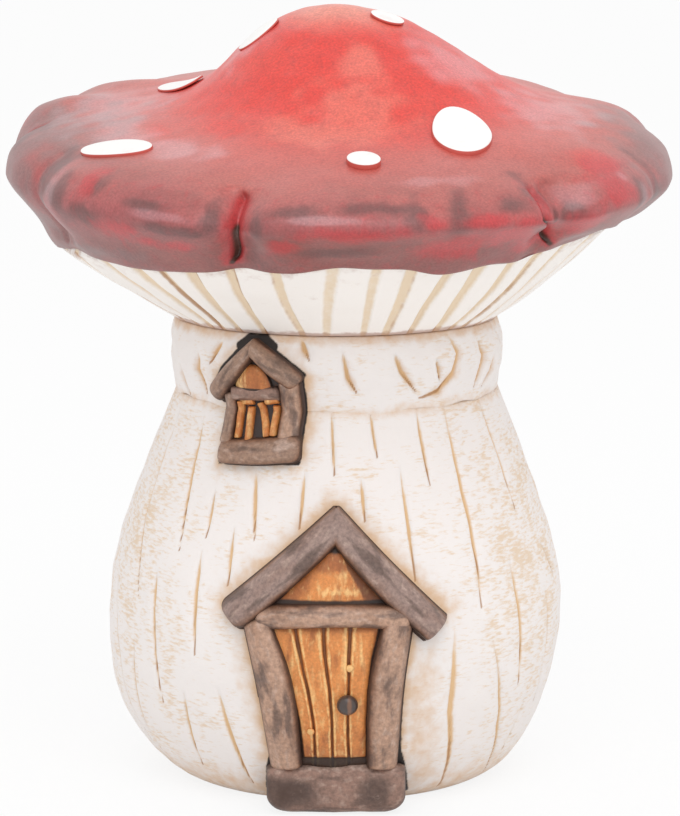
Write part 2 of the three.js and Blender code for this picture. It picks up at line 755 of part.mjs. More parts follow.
// Door
function doorStep(stemSeat) {
  const width = STEP_WIDTH - 2 * STEP_ROUND;
  const depth = STEP_DEPTH - 2 * STEP_ROUND;
  const corner = STEP_ROUND;
  const plan = new THREE.Shape();
  plan.moveTo(-width / 2, corner);
  plan.quadraticCurveTo(-width / 2, 0, -width / 2 + corner, 0);
  plan.lineTo(width / 2 - corner, 0);
  plan.quadraticCurveTo(width / 2, 0, width / 2, corner);
  plan.lineTo(width / 2, depth);
  plan.lineTo(-width / 2, depth);
  const block = new THREE.ExtrudeGeometry(plan, {
    depth: STEP_HEIGHT - 2 * STEP_ROUND,
    bevelThickness: STEP_ROUND,
    bevelSize: STEP_ROUND,
    bevelSegments: 3,
    curveSegments: 3,
  });
  block.translate(0, STEP_ROUND - STEP_REACH, STEP_ROUND);
  return cut(block, stemSeat);
}

function door() {
  const wallPoints = offsetPoints(stemCurves, STEM_STEPS, 0);
  const wall = (height) => radiusAt(wallPoints, height);
  const seat = stemForm(LUTE_GAP);
  const face = stemForm(LUTE_GAP + PANEL_RELIEF);
  const footing = STEP_HEIGHT + LUTE_GAP;
  const belowFooting = spaceBelow(footing);
  const postFoot = STEP_HEIGHT - DOOR_LOG_RELIEF / 2;
  const timber = { wall, relief: DOOR_LOG_RELIEF };

  const gable = rafters({
    wall,
    side: 0,
    height: LINTEL_HEIGHT + GABLE_RISE,
    left: [LEFT_RAFTER_REACH, LINTEL_HEIGHT - LEFT_RAFTER_DROP],
    right: [RIGHT_RAFTER_REACH, LINTEL_HEIGHT - RIGHT_RAFTER_DROP],
    width: RAFTER_WIDTH,
    relief: RAFTER_RELIEF,
  });
  const gableRoom = [gable.leftRoom, gable.rightRoom];

  const lintel = {
    ...timber,
    curve: run([LINTEL_LEFT, LINTEL_HEIGHT], [LINTEL_RIGHT, LINTEL_HEIGHT]),
    width: LINTEL_WIDTH,
  };
  const lintelRoom = log(lintel, LUTE_GAP);
  const leftPost = {
    ...timber,
    curve: run([LEFT_POST_HEAD, LINTEL_HEIGHT], [LEFT_POST_FOOT, postFoot], POST_BOW),
    width: POST_WIDTH,
  };
  const rightPost = {
    ...timber,
    curve: run([RIGHT_POST_HEAD, LINTEL_HEIGHT], [RIGHT_POST_FOOT, postFoot], -POST_BOW),
    width: POST_WIDTH,
  };
  const postRoom = [log(leftPost, LUTE_GAP), log(rightPost, LUTE_GAP)];
  const step = doorStep(seat);

  const leafOutline = [
    [LEFT_POST_HEAD, LINTEL_HEIGHT],
    [LEFT_POST_FOOT, footing],
    [RIGHT_POST_FOOT, footing],
    [RIGHT_POST_HEAD, LINTEL_HEIGHT],
  ];
  const slab = cut(common(prism(leafOutline), face), seat, lintelRoom, ...postRoom);
  const grooveFloor = stemForm(LUTE_GAP + PANEL_RELIEF - PLANK_GROOVE_DEPTH);
  const grooves = [];
  for (let k = 1; k < PLANK_COUNT; k += 1) {
    const share = k / PLANK_COUNT;
    const head = THREE.MathUtils.lerp(LEFT_POST_HEAD, RIGHT_POST_HEAD, share);
    const foot = THREE.MathUtils.lerp(LEFT_POST_FOOT, RIGHT_POST_FOOT, share);
    const half = PLANK_GROOVE_WIDTH / 2;
    const line = prism([
      [head - half, LINTEL_HEIGHT],
      [foot - half, footing],
      [foot + half, footing],
      [head + half, LINTEL_HEIGHT],
    ]);
    grooves.push(cut(line, grooveFloor));
  }

  const gableOutline = [
    [0, LINTEL_HEIGHT + GABLE_RISE],
    [LEFT_RAFTER_REACH, LINTEL_HEIGHT],
    [RIGHT_RAFTER_REACH, LINTEL_HEIGHT],
  ];
  const gableSlab = cut(common(prism(gableOutline), face), seat, lintelRoom, ...gableRoom);

  const knobRing = new THREE.QuadraticBezierCurve(
    new THREE.Vector2(KNOB_DIAMETER / 2, 0),
    new THREE.Vector2(KNOB_DIAMETER / 2, KNOB_RELIEF),
    new THREE.Vector2(0, KNOB_RELIEF),
  );
  const knobOutline = [new THREE.Vector2(0, -PANEL_RELIEF), new THREE.Vector2(KNOB_DIAMETER / 2, -PANEL_RELIEF)];
  const knobForm = turned([...knobOutline, ...knobRing.getPoints(4)], SPOT_SIDES);
  const knobNormal = wallNormal(wall, KNOB_SIDE, KNOB_HEIGHT);
  knobForm.applyQuaternion(
    new THREE.Quaternion().setFromUnitVectors(new THREE.Vector3(0, 0, 1), knobNormal),
  );
  knobForm.translate(
    ...onWall(wall, KNOB_SIDE, KNOB_HEIGHT).addScaledVector(knobNormal, PANEL_RELIEF + 2 * LUTE_GAP),
  );
  const knobSeat = stemForm(PANEL_RELIEF + 2 * LUTE_GAP);

  const group = new THREE.Group();
  group.add(
    piece("doorstep", step, "timber"),
    piece("door_leaf", cut(slab, ...grooves), "panel"),
    piece("door_knob", cut(knobForm, knobSeat), "knob"),
    piece("door_post_left", cut(log(leftPost), seat, belowFooting, lintelRoom, ...gableRoom), "timber"),
    piece("door_post_right", cut(log(rightPost), seat, belowFooting, lintelRoom, ...gableRoom), "timber"),
    piece("door_lintel", cut(log(lintel), seat, ...gableRoom), "timber"),
    piece("door_rafter_left", cut(gable.left, seat), "timber"),
    piece("door_rafter_right", cut(gable.right, seat), "timber"),
    piece("door_gable_panel", gableSlab, "panel"),
  );
  return group;
}

// Window
function windowSet() {
  const turn = radians(WINDOW_AZIMUTH);
  const sillFoot = SILL_HEIGHT - SILL_WIDTH / 2;
  const wallPoints = offsetPoints(stemCurves, STEM_STEPS, 0);
  const low = new THREE.Vector2(radiusAt(wallPoints, sillFoot), sillFoot);
  const high = new THREE.Vector2(SHOULDER_RADIUS + COLLAR_BULGE + COLLAR_RUFFLE, SEAT_HEIGHT);
  const wall = (height) => THREE.MathUtils.mapLinear(height, low.y, high.y, low.x, high.x);

  const wallForm = (offset) => {
    const [bottom, top] = [sillFoot - FORM_MARGIN, SEAT_HEIGHT + FORM_MARGIN];
    const outline = [
      new THREE.Vector2(0, bottom),
      new THREE.Vector2(wall(bottom) + offset, bottom),
      new THREE.Vector2(wall(top) + offset, top),
      new THREE.Vector2(0, top),
    ];
    return turned(outline, STEM_SEGMENTS);
  };
  const dishRoom = dishForm(LUTE_GAP).rotateZ(-turn);
  const room = [stemForm(LUTE_GAP), collarForm(LUTE_GAP).rotateZ(-turn), dishRoom];
  const backFace = wallForm(LUTE_GAP);
  const frontSeat = wallForm(2 * LUTE_GAP);
  const panelFace = wallForm(2 * LUTE_GAP + CASEMENT_RELIEF);
  const small = { wall, relief: WINDOW_LOG_RELIEF };

  const gable = rafters({
    wall,
    side: WINDOW_GABLE_SIDE,
    height: WINDOW_GABLE_HEIGHT,
    left: [WINDOW_LEFT_RAFTER_REACH, HEADER_HEIGHT - WINDOW_LEFT_RAFTER_DROP],
    right: [WINDOW_RIGHT_RAFTER_REACH, WINDOW_RIGHT_RAFTER_HEIGHT],
    width: WINDOW_RAFTER_WIDTH,
    relief: WINDOW_RAFTER_RELIEF,
  });
  const gableRoom = [gable.leftRoom, gable.rightRoom];
  const sill = {
    ...small,
    curve: run([SILL_LEFT, SILL_HEIGHT], [SILL_RIGHT, SILL_HEIGHT]),
    width: SILL_WIDTH,
    relief: WINDOW_RAFTER_RELIEF,
  };
  const sillRoom = log(sill, LUTE_GAP);
  const header = {
    ...small,
    curve: run([WINDOW_LEFT_POST, HEADER_HEIGHT], [WINDOW_RIGHT_POST, HEADER_HEIGHT]),
    width: HEADER_WIDTH,
  };
  const headerRoom = log(header, LUTE_GAP);
  const post = (side) => ({
    ...small,
    curve: run([side, HEADER_HEIGHT + HEADER_WIDTH / 2], [side, SILL_HEIGHT]),
    width: WINDOW_POST_WIDTH,
  });
  const leftPost = post(WINDOW_LEFT_POST);
  const rightPost = post(WINDOW_RIGHT_POST);
  const postRoom = [log(leftPost, LUTE_GAP), log(rightPost, LUTE_GAP)];

  const backing = prism([
    [SILL_LEFT, SILL_HEIGHT - SILL_WIDTH / 4],
    [SILL_RIGHT, SILL_HEIGHT - SILL_WIDTH / 4],
    [WINDOW_RIGHT_POST, WINDOW_RIGHT_RAFTER_HEIGHT],
    [WINDOW_GABLE_SIDE, WINDOW_GABLE_HEIGHT],
    [WINDOW_LEFT_POST, HEADER_HEIGHT],
  ]);
  const gablePanel = prism([
    [WINDOW_LEFT_POST, HEADER_HEIGHT],
    [WINDOW_RIGHT_POST, HEADER_HEIGHT],
    [WINDOW_GABLE_SIDE, WINDOW_GABLE_HEIGHT],
  ]);

  // A casement is two legs under a head, from one side to another.
  const casement = (name, from, to) => {
    const [head, foot] = [HEADER_HEIGHT, SILL_HEIGHT];
    const underHead = HEADER_HEIGHT - HEADER_WIDTH / 2 - CASEMENT_BAR;
    const frame = prism([
      [from, head],
      [from, foot],
      [from + CASEMENT_BAR, foot],
      [from + CASEMENT_BAR, underHead],
      [to - CASEMENT_BAR, underHead],
      [to - CASEMENT_BAR, foot],
      [to, foot],
      [to, head],
    ]);
    return piece(name, cut(common(frame, panelFace), frontSeat, sillRoom, headerRoom, ...postRoom), "panel");
  };
  const clearLeft = WINDOW_LEFT_POST + WINDOW_POST_WIDTH / 2 + LUTE_GAP;
  const clearRight = WINDOW_RIGHT_POST - WINDOW_POST_WIDTH / 2 - LUTE_GAP;
  const middle = (clearLeft + clearRight) / 2;

  const group = new THREE.Group();
  group.rotation.z = turn;
  group.add(
    piece("window_backing", cut(common(backing, backFace), ...room), "shadow"),
    piece("window_sill", cut(log(sill), frontSeat), "timber"),
    piece("window_header", cut(log(header), frontSeat, ...postRoom, ...gableRoom), "timber"),
    piece("window_post_left", cut(log(leftPost), frontSeat, sillRoom, ...gableRoom), "timber"),
    piece("window_post_right", cut(log(rightPost), frontSeat, sillRoom, ...gableRoom), "timber"),
    piece("window_rafter_left", cut(gable.left, frontSeat, dishRoom), "timber"),
    piece("window_rafter_right", cut(gable.right, frontSeat, dishRoom), "timber"),
    piece(
      "window_gable_panel",
      cut(common(gablePanel, panelFace), frontSeat, headerRoom, ...postRoom, ...gableRoom),
      "panel",
    ),
    casement("window_casement_left", clearLeft, middle - MULLION_GAP / 2),
    casement("window_casement_right", middle + MULLION_GAP / 2, clearRight),
  );
  return group;
}

// Assembly
const toadstoolHouse = new THREE.Group();
toadstoolHouse.add(
  piece("stem_shell", stemShell(), "stem"),
  piece("collar_ring", collarRing(), "stem"),
  piece("gill_dish", gillDish(), "gill"),
  piece("cap_shell", capShell(), "cap"),
  door(),
  windowSet(),
);
const spotSeat = capForm(LUTE_GAP);
const spotFace = capForm(LUTE_GAP + SPOT_RELIEF);
SPOTS.forEach((spot) => toadstoolHouse.add(spotPiece(spot, spotSeat, spotFace)));

export default toadstoolHouse;
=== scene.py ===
"""Painted surfaces of a toadstool house garden ornament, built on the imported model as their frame."""

import math

import bpy
import numpy as np
from bpy.props import FloatProperty, FloatVectorProperty, IntProperty, PointerProperty
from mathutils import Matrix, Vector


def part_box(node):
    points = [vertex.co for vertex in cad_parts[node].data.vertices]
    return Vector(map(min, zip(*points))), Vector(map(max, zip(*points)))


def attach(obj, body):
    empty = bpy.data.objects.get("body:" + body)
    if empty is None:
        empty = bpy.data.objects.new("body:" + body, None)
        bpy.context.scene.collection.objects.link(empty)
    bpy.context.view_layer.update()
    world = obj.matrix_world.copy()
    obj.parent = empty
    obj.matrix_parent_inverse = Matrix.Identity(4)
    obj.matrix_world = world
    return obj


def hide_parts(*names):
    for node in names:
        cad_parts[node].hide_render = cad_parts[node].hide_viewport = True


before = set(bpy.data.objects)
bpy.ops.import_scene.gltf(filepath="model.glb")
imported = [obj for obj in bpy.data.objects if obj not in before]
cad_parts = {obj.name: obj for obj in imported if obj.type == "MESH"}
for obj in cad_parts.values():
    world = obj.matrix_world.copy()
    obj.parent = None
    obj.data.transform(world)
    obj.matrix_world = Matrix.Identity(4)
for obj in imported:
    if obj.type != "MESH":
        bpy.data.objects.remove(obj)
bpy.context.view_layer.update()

bl_info = {
    "name": "Toadstool House Ornament",
    "version": (1, 0, 0),
    "blender": (4, 5, 0),
    "location": "View3D > Sidebar > Toadstool",
    "description": "Builds and paints the pieces of a clay toadstool house ornament",
    "category": "Object",
}

MM = 0.001


def paint(red, green, blue):
    """Linear colour of a paint from its screen values, 0 to 255."""
    shares = (red / 255, green / 255, blue / 255)
    return tuple(v / 12.92 if v <= 0.04045 else ((v + 0.055) / 1.055) ** 2.4 for v in shares)


def length(name, description, default):
    """A length that a user can change, in metres."""
    limits = {"default": default, "min": 0.0, "precision": 5}
    return FloatProperty(name=name, description=description, unit="LENGTH", **limits)


def colour(name, description, red, green, blue):
    """A paint that a user can change."""
    return FloatVectorProperty(
        name=name,
        description=description,
        default=paint(red, green, blue),
        size=3,
        min=0.0,
        max=1.0,
        subtype="COLOR",
    )


class StemSizes(bpy.types.PropertyGroup):
    """Sizes of the stem, the collar and the gilled dish."""

    foot_radius: length("Foot radius", "Radius of the stem where it stands", 46.5 * MM)
    belly_radius: length("Belly radius", "Radius at the widest level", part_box("stem_shell")[1][0])
    belly_height: length("Belly height", "Height of the widest level", 51 * MM)
    shoulder_radius: length("Shoulder radius", "Radius under the collar", 50 * MM)
    shoulder_height: length("Shoulder height", "Height of the collar's foot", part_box("collar_ring")[0][2])
    collar_top: length("Collar top", "Height of the collar's head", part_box("collar_ring")[1][2])
    collar_bulge: length("Collar bulge", "How far the collar stands out at its middle", 2.3 * MM)
    neck_radius: length("Neck radius", "Radius of the neck inside the collar", 44 * MM)
    wall: length("Wall", "Thickness of the hollow stem", 7 * MM)
    pour_radius: length("Pour hole radius", "Radius of the hole in the foot", 28 * MM)
    line_depth: length("Line depth", "Depth of the incised lines", 0.9 * MM)
    dish_foot: length("Dish foot", "Radius of the dish where it meets the collar", 50.5 * MM)
    dish_radius: length("Dish radius", "Radius of the dish at its edge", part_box("gill_dish")[1][0])
    dish_edge: length("Dish edge", "Height of the dish's edge in front", 169.7 * MM)
    dish_sag: length("Dish sag", "How far the dish's underside bellies out", 1.2 * MM)
    gill_count: IntProperty(name="Gills", description="Number of gills round the dish", default=36, min=8)
    gill_depth: length("Gill depth", "Depth of the grooves between the gills", 1.1 * MM)


class CapSizes(bpy.types.PropertyGroup):
    """Sizes of the cap and its spots."""

    top: length("Top", "Height of the crown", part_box("cap_shell")[1][2] - 0.3 * MM)
    radius: length("Radius", "Radius of the rim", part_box("cap_shell")[1][1])
    rim_height: length("Rim height", "Height at which the rim is widest", 190 * MM)
    brim_radius: length("Brim radius", "Radius of the dome's foot", 62 * MM)
    brim_drop: length("Brim drop", "Drop from the crown to the dome's foot", 29.5 * MM)
    lip_height: length("Lip height", "Height of the cap's lowest edge in front", 168 * MM)
    lip_radius: length("Lip radius", "Radius of the lip outside", 87.6 * MM)
    slit_depth: length("Slit depth", "Depth of the sharp slits in the rim", 3.2 * MM)
    wall: length("Wall", "Thickness of the hollow cap", 6.5 * MM)
    spot_relief: length("Spot relief", "Height of the white spots above the cap", 1.4 * MM)


class HouseSizes(bpy.types.PropertyGroup):
    """Sizes of the door and the window."""

    log_relief: length("Log relief", "How far the door's logs stand out of the wall", 5.2 * MM)
    leaf_relief: length("Leaf relief", "How far the door leaf stands out of the wall", 2 * MM)
    plank_groove: length("Plank groove", "Depth of the grooves between the planks", 1 * MM)
    knob_radius: length("Knob radius", "Radius of the door knob", 3.2 * MM)
    window_relief: length("Window relief", "How far the window's logs stand out of the wall", 3.2 * MM)
    window_azimuth: FloatProperty(
        name="Window direction",
        description="Direction of the window from the door, towards +X",
        default=math.radians(-25),
        unit="ROTATION",
    )


class Paints(bpy.types.PropertyGroup):
    """Paints of the ornament."""

    whitewash: colour("Whitewash", "Brushed white of the stem and collar", 241, 235, 232)
    biscuit: colour("Biscuit", "Cream clay that shows through the white", 230, 208, 184)
    tan: colour("Tan", "Thin wash round the frames and at the foot", 222, 186, 150)
    gill_white: colour("Gill white", "White of the gills under the cap", 252, 247, 242)
    gill_tan: colour("Gill tan", "Tan of the grooves between the gills", 238, 218, 190)
    ochre: colour("Ochre", "Wash in the incised lines and grooves", 226, 190, 146)
    line_brown: colour("Line brown", "Darker core of the incised lines", 172, 122, 78)
    # Painted shade: darkens the slits in the rim and the logs' feet on the wall
    umber_shade: colour("Umber", "Dark wash in deep corners", 74, 52, 42)
    # Painted shadow round the frames, at the foot of the door leaf and beside the posts
    shadow_black: colour("Shadow black", "Black of the gaps round the frames", 36, 27, 24)
    cap_red: colour("Cap red", "Bright red of the dome", 221, 58, 46)
    # Also laid low on the front of the dome as a painted highlight
    dome_coral: colour("Dome coral", "Paler coral speckled over the dome", 232, 137, 118)
    brim_red: colour("Brim red", "Dusty rose of the brim", 204, 91, 81)
    rim_top: colour("Rim top", "Dull rose above the rim's ridge", 182, 98, 90)
    rim_red: colour("Rim red", "Dark red of the rim's face", 164, 84, 84)
    rim_low: colour("Rim low", "Brown red above the lip", 140, 84, 80)
    # Also painted shade in the creases beside the slits and pinches
    rim_brown: colour("Rim brown", "Brown patches on the rim", 102, 65, 63)
    rim_grey: colour("Rim grey", "Grey mauve on the sides of the rim", 134, 106, 104)
    brush_red: colour("Brush red", "Brighter brush strokes on the rim", 196, 46, 52)
    # Painted reflection: the pale sheen and highlights of the varnish, laid into the cap's colour
    sheen: colour("Sheen", "Pale mauve sheen on the varnish", 226, 196, 202)
    spot_white: colour("Spot white", "White of the spots", 246, 245, 243)
    timber: colour("Timber", "Grey mauve of the rafters", 150, 126, 117)
    step: colour("Step", "Dull brown of the step", 148, 116, 102)
    post: colour("Post", "Warm brown of the posts", 182, 146, 124)
    window_timber: colour("Window timber", "Dull brown of the window's logs", 156, 125, 106)
    timber_warm: colour("Timber warm", "Warmer brown on the logs' slopes", 132, 92, 68)
    # Also painted shade at the back and the ends of the step
    timber_dark: colour("Timber dark", "Dark stains on the logs", 92, 72, 64)
    # Partly wear and partly painted highlight, on the logs' crests and the step's front edge
    timber_pale: colour("Timber pale", "Pale wear on the logs", 190, 164, 150)
    plank: colour("Plank", "Golden orange of the door and window panels", 219, 140, 75)
    plank_gold: colour("Plank gold", "Pale gold along the planks' edges", 244, 200, 134)
    plank_brown: colour("Plank brown", "Brown wash on the panels", 156, 88, 46)
    groove_brown: colour("Groove brown", "Dark brown between the planks", 104, 58, 32)
    # Painted shade of the window's hollow
    recess: colour("Recess", "Dark hollow behind the casements", 62, 52, 50)
    knob: colour("Knob", "Dark iron of the knob", 70, 58, 54)


class StageSettings(bpy.types.PropertyGroup):
    """Camera and light."""

    lens: FloatProperty(name="Lens", description="Focal length", default=170.16, min=1.0, unit="CAMERA")
    distance: length("Distance", "Camera's distance in front of the ornament", 1192.4 * MM)
    height: length("Height", "Camera's height above the floor", 314.7 * MM)
    target: length("Target", "Height that the camera looks at", 114 * MM)
    shift: FloatProperty(name="Shift", description="Sideways shift of the frame", default=4 / 816)
    ambient: FloatProperty(name="Ambient", description="Strength of the white surroundings", default=0.88)
    key: FloatProperty(name="Key light", description="Power of the lamp above", default=9.0, unit="POWER")


# Rows and columns of the meshes
STEM_MESH = (180, 720)
COLLAR_MESH = (48, 640)
DISH_ROWS = 44
COLUMNS_PER_GILL = 36
CAP_MESH = (150, 860)
SPOT_COLUMNS = 56
LOG_MESH = (52, 36)
STEP_MESH = (60, 64)
PANEL_COLUMNS = 90
KNOB_MESH = (18, 40)

# Lines cut into the stem in front, each with its width in millimetres and its points from the top down, as
# degrees from the door and heights in millimetres
STEM_LINES = (
    (1.6, (-68, 118), (-66, 84), (-61, 61)),
    (1.5, (-51, 117), (-46, 78)),
    (1.2, (-38, 97), (-37.5, 83)),
    (1.8, (-38, 79), (-37, 48)),
    (1.3, (-29, 87), (-28.5, 70)),
    (2.0, (-25, 104), (-22.5, 84)),
    (1.6, (-9.5, 104), (-10, 88)),
    (2.0, (-53.5, 70), (-53, 61), (-50.5, 30)),
    (1.6, (-77, 64), (-72.5, 45), (-66, 6)),
    (1.4, (-62, 47), (-64, 10)),
    (1.4, (-42, 35), (-44, 10)),
    (2.2, (-31, 38), (-27, 6)),
    (1.6, (7.5, 102), (8, 90)),
    (1.3, (12, 121), (13, 108)),
    (1.3, (-1.5, 121), (-0.5, 103)),
    (1.5, (20, 105), (20.5, 72)),
    (1.5, (29, 121), (29, 99)),
    (1.9, (41, 121), (39, 62)),
    (1.5, (62, 120), (60.5, 88)),
    (1.2, (78, 113), (77, 98)),
    (2.0, (52, 74), (54, 35)),
    (1.8, (42.5, 51), (50, 22), (58, 3)),
    (3.0, (30.5, 57), (31, 30), (36.5, 3)),
    (1.4, (71, 76), (76, 64)),
    (1.6, (67.5, 62), (68.5, 25)),
    (1.2, (60, 29), (59, 12)),
)

# Folds cut into the collar in front, in the same way
COLLAR_FOLDS = (
    (2.4, (-42.5, 141), (-48.5, 133.5)),
    (2.4, (-55, 136), (-55.5, 131), (-52, 124)),
    (2.0, (-67, 131), (-66, 126), (-63, 121)),
    (2.4, (-12, 143), (-11, 140), (-9, 137)),
    (2.0, (2, 140), (4, 131.5), (7, 127)),
    (2.2, (20, 138.5), (22.5, 133), (28.5, 126.5)),
    (3.0, (42.5, 143), (46, 137), (44, 131), (38.5, 126), (30, 124.5)),
    (1.4, (36, 136), (38, 129)),
    (2.0, (57.5, 140), (60.5, 135), (58.5, 129), (56.5, 125)),
    (2.0, (66, 134.5), (65.5, 129), (61.5, 125)),
    (2.0, (73, 142), (76, 134), (74, 126)),
)

# Directions of the grooves between the gills that show in front, in degrees, at the dish's foot and its edge
FRONT_GROOVES = (
    (-57, -55),
    (-48, -46),
    (-41.7, -38),
    (-34.6, -30.6),
    (-24.8, -21.5),
    (-11.2, -12),
    (-3.2, -0.5),
    (9.3, 8.3),
    (16.8, 15.6),
    (25.9, 25.7),
    (36.5, 32),
    (43, 39.3),
    (49, 46),
    (57, 54),
)

# Pinches round the rim: degrees from the door, depth in millimetres, half width in degrees, how sharp the
# slit at its bottom is, and the slit's directions at the rim's ridge and at the lip
PINCHES = (
    (-18, 6.5, 4.0, 1.0, -18.2, -20.4),
    (41.5, 6.0, 4.2, 1.0, 36.5, 46.5),
    (70, 1.6, 6.0, 0.1, 68, 73),
    (99, 2.2, 5.5, 0.4, 98, 101),
    (152, 5.5, 5.0, 0.8, 153, 149),
    (-165, 5.5, 5.0, 0.8, -166, -162),
    (-138, 4.0, 6.0, 0.4, -137, -140),
    (-113, 2.8, 5.0, 0.3, -113, -114),
    (-92, 3.0, 5.0, 0.5, -91, -94),
    (-65, 3.6, 6.0, 0.25, -66, -68),
)

# Patches on the cap in front, of brushed colour and of painted light: degrees from the door, percent of the
# way from the crown to the lip, and half their width in degrees and half their height in percent
CAP_PATCHES = {
    # Brown dabs on the rim, and painted shade in the creases beside the slits and pinches
    "brown_dabs_and_shade": (
        (-46.5, 83, 4, 4),
        (-45, 74, 2, 3),
        (-29, 84.4, 6.5, 2.2),
        (-33, 77, 5, 1.6),
        (-54, 80, 2.5, 6),
        (-21.8, 79, 1.6, 7),
        (-13.6, 80, 1.6, 7),
        (-8, 75, 5, 2),
        (8, 74, 8, 2),
        (13, 78, 2, 6),
        (20, 78, 2.5, 8),
        (30, 75, 4, 3),
        (36, 70, 2, 6),
        (38, 74, 1.4, 5),
        (39.6, 80, 1.4, 5),
        (43.5, 81, 2.2, 5),
        (-1, 93, 7, 2.5),
        (62, 79, 2, 9),
        (70, 78, 2, 9),
        (-62, 74, 4, 9),
        (-85, 72, 6, 5),
    ),
    "crimson": (
        (-40.5, 86, 5, 3),
        (-29.5, 90.4, 5.5, 2),
        (-47.5, 74, 2.5, 5),
        (3, 84, 10, 3.5),
        (15.5, 79, 2.5, 3),
        (26, 80, 6, 3),
        (25, 92, 2, 5),
        (32, 81, 3, 3),
        (29, 90, 9, 5),
        (21, 93, 7, 4),
        (36, 93, 6, 5),
        (-34.5, 89.5, 4, 2),
        (47, 88, 6, 6),
        (54, 76, 5, 6),
        (57, 69, 8, 5),
        (-10, 90, 3, 4),
    ),
    # Painted highlights along the rim's ridge and on its lobes
    "glare": (
        (-30, 79.5, 6, 1.6),
        (-3, 77.5, 8, 1.4),
        (46, 74.5, 4.5, 3),
        (-57, 79, 1.6, 9),
        (58.5, 73.5, 1.2, 1.5),
        (63, 81, 1.5, 5),
        (20, 65, 9, 2),
    ),
    # Painted sheen of the varnish towards the sides of the brim and the dome
    "painted_sheen": (
        (-92, 56, 20, 10),
        (-64, 57, 16, 5),
        (-41, 56.5, 12, 5),
        (80, 47, 17, 10),
        (70, 26, 24, 8),
        (-84, 22, 18, 7),
    ),
    "red": ((-58, 52, 9, 3), (-38, 44, 12, 4), (62, 38, 9, 4), (56, 66, 8, 5), (30, 45, 14, 5)),
    # Pale coral low on the front of the dome is a painted highlight
    "coral": ((8, 34, 20, 9), (-2, 42, 24, 5), (14, 22, 12, 6)),
    "dusk": ((-84, 78, 24, 24), (84, 78, 18, 22), (-52, 96, 12, 3)),
}

# Where the lip between two pinches hangs lower or, below 0, higher: degrees from the door, millimetres and
# half width in degrees
LIP_SAGS = (
    (20.5, 3.4, 6.5),
    (0.5, -0.7, 5.5),
    (-10, 0.7, 9),
    (-20.4, -0.4, 3.6),
    (28, 1.2, 5),
    (38, 2.0, 8),
    (-44, 0.6, 9),
    (-66, -2.4, 14),
    (66, -2.0, 12),
)

# Where the rim's lower face is tucked in: degrees from the door, millimetres and half width in degrees
SIDE_TUCK = (-84, 3.0, 28)

# Lobes of the brim that stand up at the sides or, below 0, sink: degrees from the door, millimetres, half
# width in degrees, and the distance from the axis in millimetres at which they start. The run makes them full
BRIM_LOBES = ((-102, 3.4, 8, 66), (-123, 1.6, 8, 58), (104, 1.2, 14, 66), (121, -2.4, 11, 52))
LOBE_RUN = 28

# How full the curves of the plain turned cap are at the crown, the dome's foot, the rim and the lip
CROWN_FULLNESS = 30 * MM
BRIM_FLARE_IN = 24 * MM
BRIM_FLARE_OUT = 22 * MM
BRIM_SLOPE = 5.3 / 24
RIM_FULLNESS_ABOVE = 15 * MM
RIM_FULLNESS_BELOW = 6 * MM
LIP_FLARE = 8 * MM

# How the cap tilts to the front, how its brim and its lip tilt to one side, how its dome leans and how far
# its rim is moved. The lip's tilt grows over the reach below the rim's ridge
FORWARD_TILT = 0.12
BRIM_SIDE_TILT = 0.012
LIP_SIDE_TILT = 0.04
LIP_TILT_REACH = 20 * MM
DOME_LEAN = 0.12
RIM_SHIFT = 1 * MM

# Heights between which the slits in the rim end, and between which the painted shade in them ends
SLIT_HEAD = (200 * MM, 206 * MM)
SLIT_PAINT_HEAD = (187 * MM, 197 * MM)

# Inside of the cap above its lip, as distances from the axis and heights in millimetres
CAP_HOLLOW = ((88, 176), (89, 190), (76, 199), (60, 203), (36, 212), (18, 228), (1, 233))

# Edge of a spot from its top outwards and down, as shares of its half width and of its relief
SPOT_EDGE = ((0.95, 0.92), (0.975, 0.86), (0.99, 0.74), (1.0, 0.56), (1.005, 0.3), (1.01, 0.0), (1.01, -0.8))

# How full the stem's curve is at its belly
BELLY_FULLNESS = 23 * MM

# Outlines of the door's and the window's frames on the wall, as distances sideways and heights in
# millimetres, and how far the tan wash round them reaches
DOOR_OUTLINE = ((0, 95), (33, 63), (22, 58), (18, 14), (21, 0), (-21, 0), (-19, 14), (-27, 58), (-34, 65))
WINDOW_OUTLINE = ((-3, 144), (13, 131), (13, 108), (-12, 106), (-12, 124), (-18, 127))
FRAME_HALO = 4.5 * MM

# Painted shade on the wall round the door and the window, in dark corners: width in millimetres and points as
# distances sideways and heights in millimetres
DOOR_SHADES = (
    (2.2, (21.2, 57), (19, 36), (18.4, 20), (20, 13), (20.8, 5)),
    (1.6, (-18.8, 20), (-20.2, 14), (-20.6, 5)),
)
WINDOW_SHADES = (
    (2.0, (-18.8, 127), (-10.2, 136.8), (-4, 143), (3.6, 139.2), (12.6, 132.8)),
    (1.5, (12.3, 132), (12.5, 121), (12.5, 108)),
    (2.4, (-8.4, 140.4), (-5.4, 142.9), (0.2, 143.1), (3.4, 140.6)),
    (1.4, (-13, 105.4), (13, 106.6)),
)

# Spots: degrees from the door, distance from the axis, width along the rim and length up the slope in
# millimetres, a turn in degrees, and a share of the full relief
SPOTS = {
    "front_small": (6.4, 73.5, 10, 9.8, 0, 1.0),
    "front_right_large": (35.2, 61.2, 17.2, 28.2, -30, 1.0),
    "left_rim": (-54, 83.4, 24.5, 14.4, 32, 0.55),
    "left_brim": (-111, 58, 20, 14, 38, 0.3),
    "crown_right": (72, 15.8, 9.5, 11, 12, 0.35),
    "crown_left": (-85.5, 26, 13, 15, 0, 0.3),
    "back_brim": (160, 73, 15, 13, -15, 0.8),
    "back_right": (148, 52, 19, 15, 25, 0.8),
    "back_crown": (178, 26, 9.5, 9.5, 0, 0.8),
    "back_rim": (-173, 84, 19, 13, 10, 0.8),
    "back_left": (-155, 52, 13, 13, 0, 0.8),
}

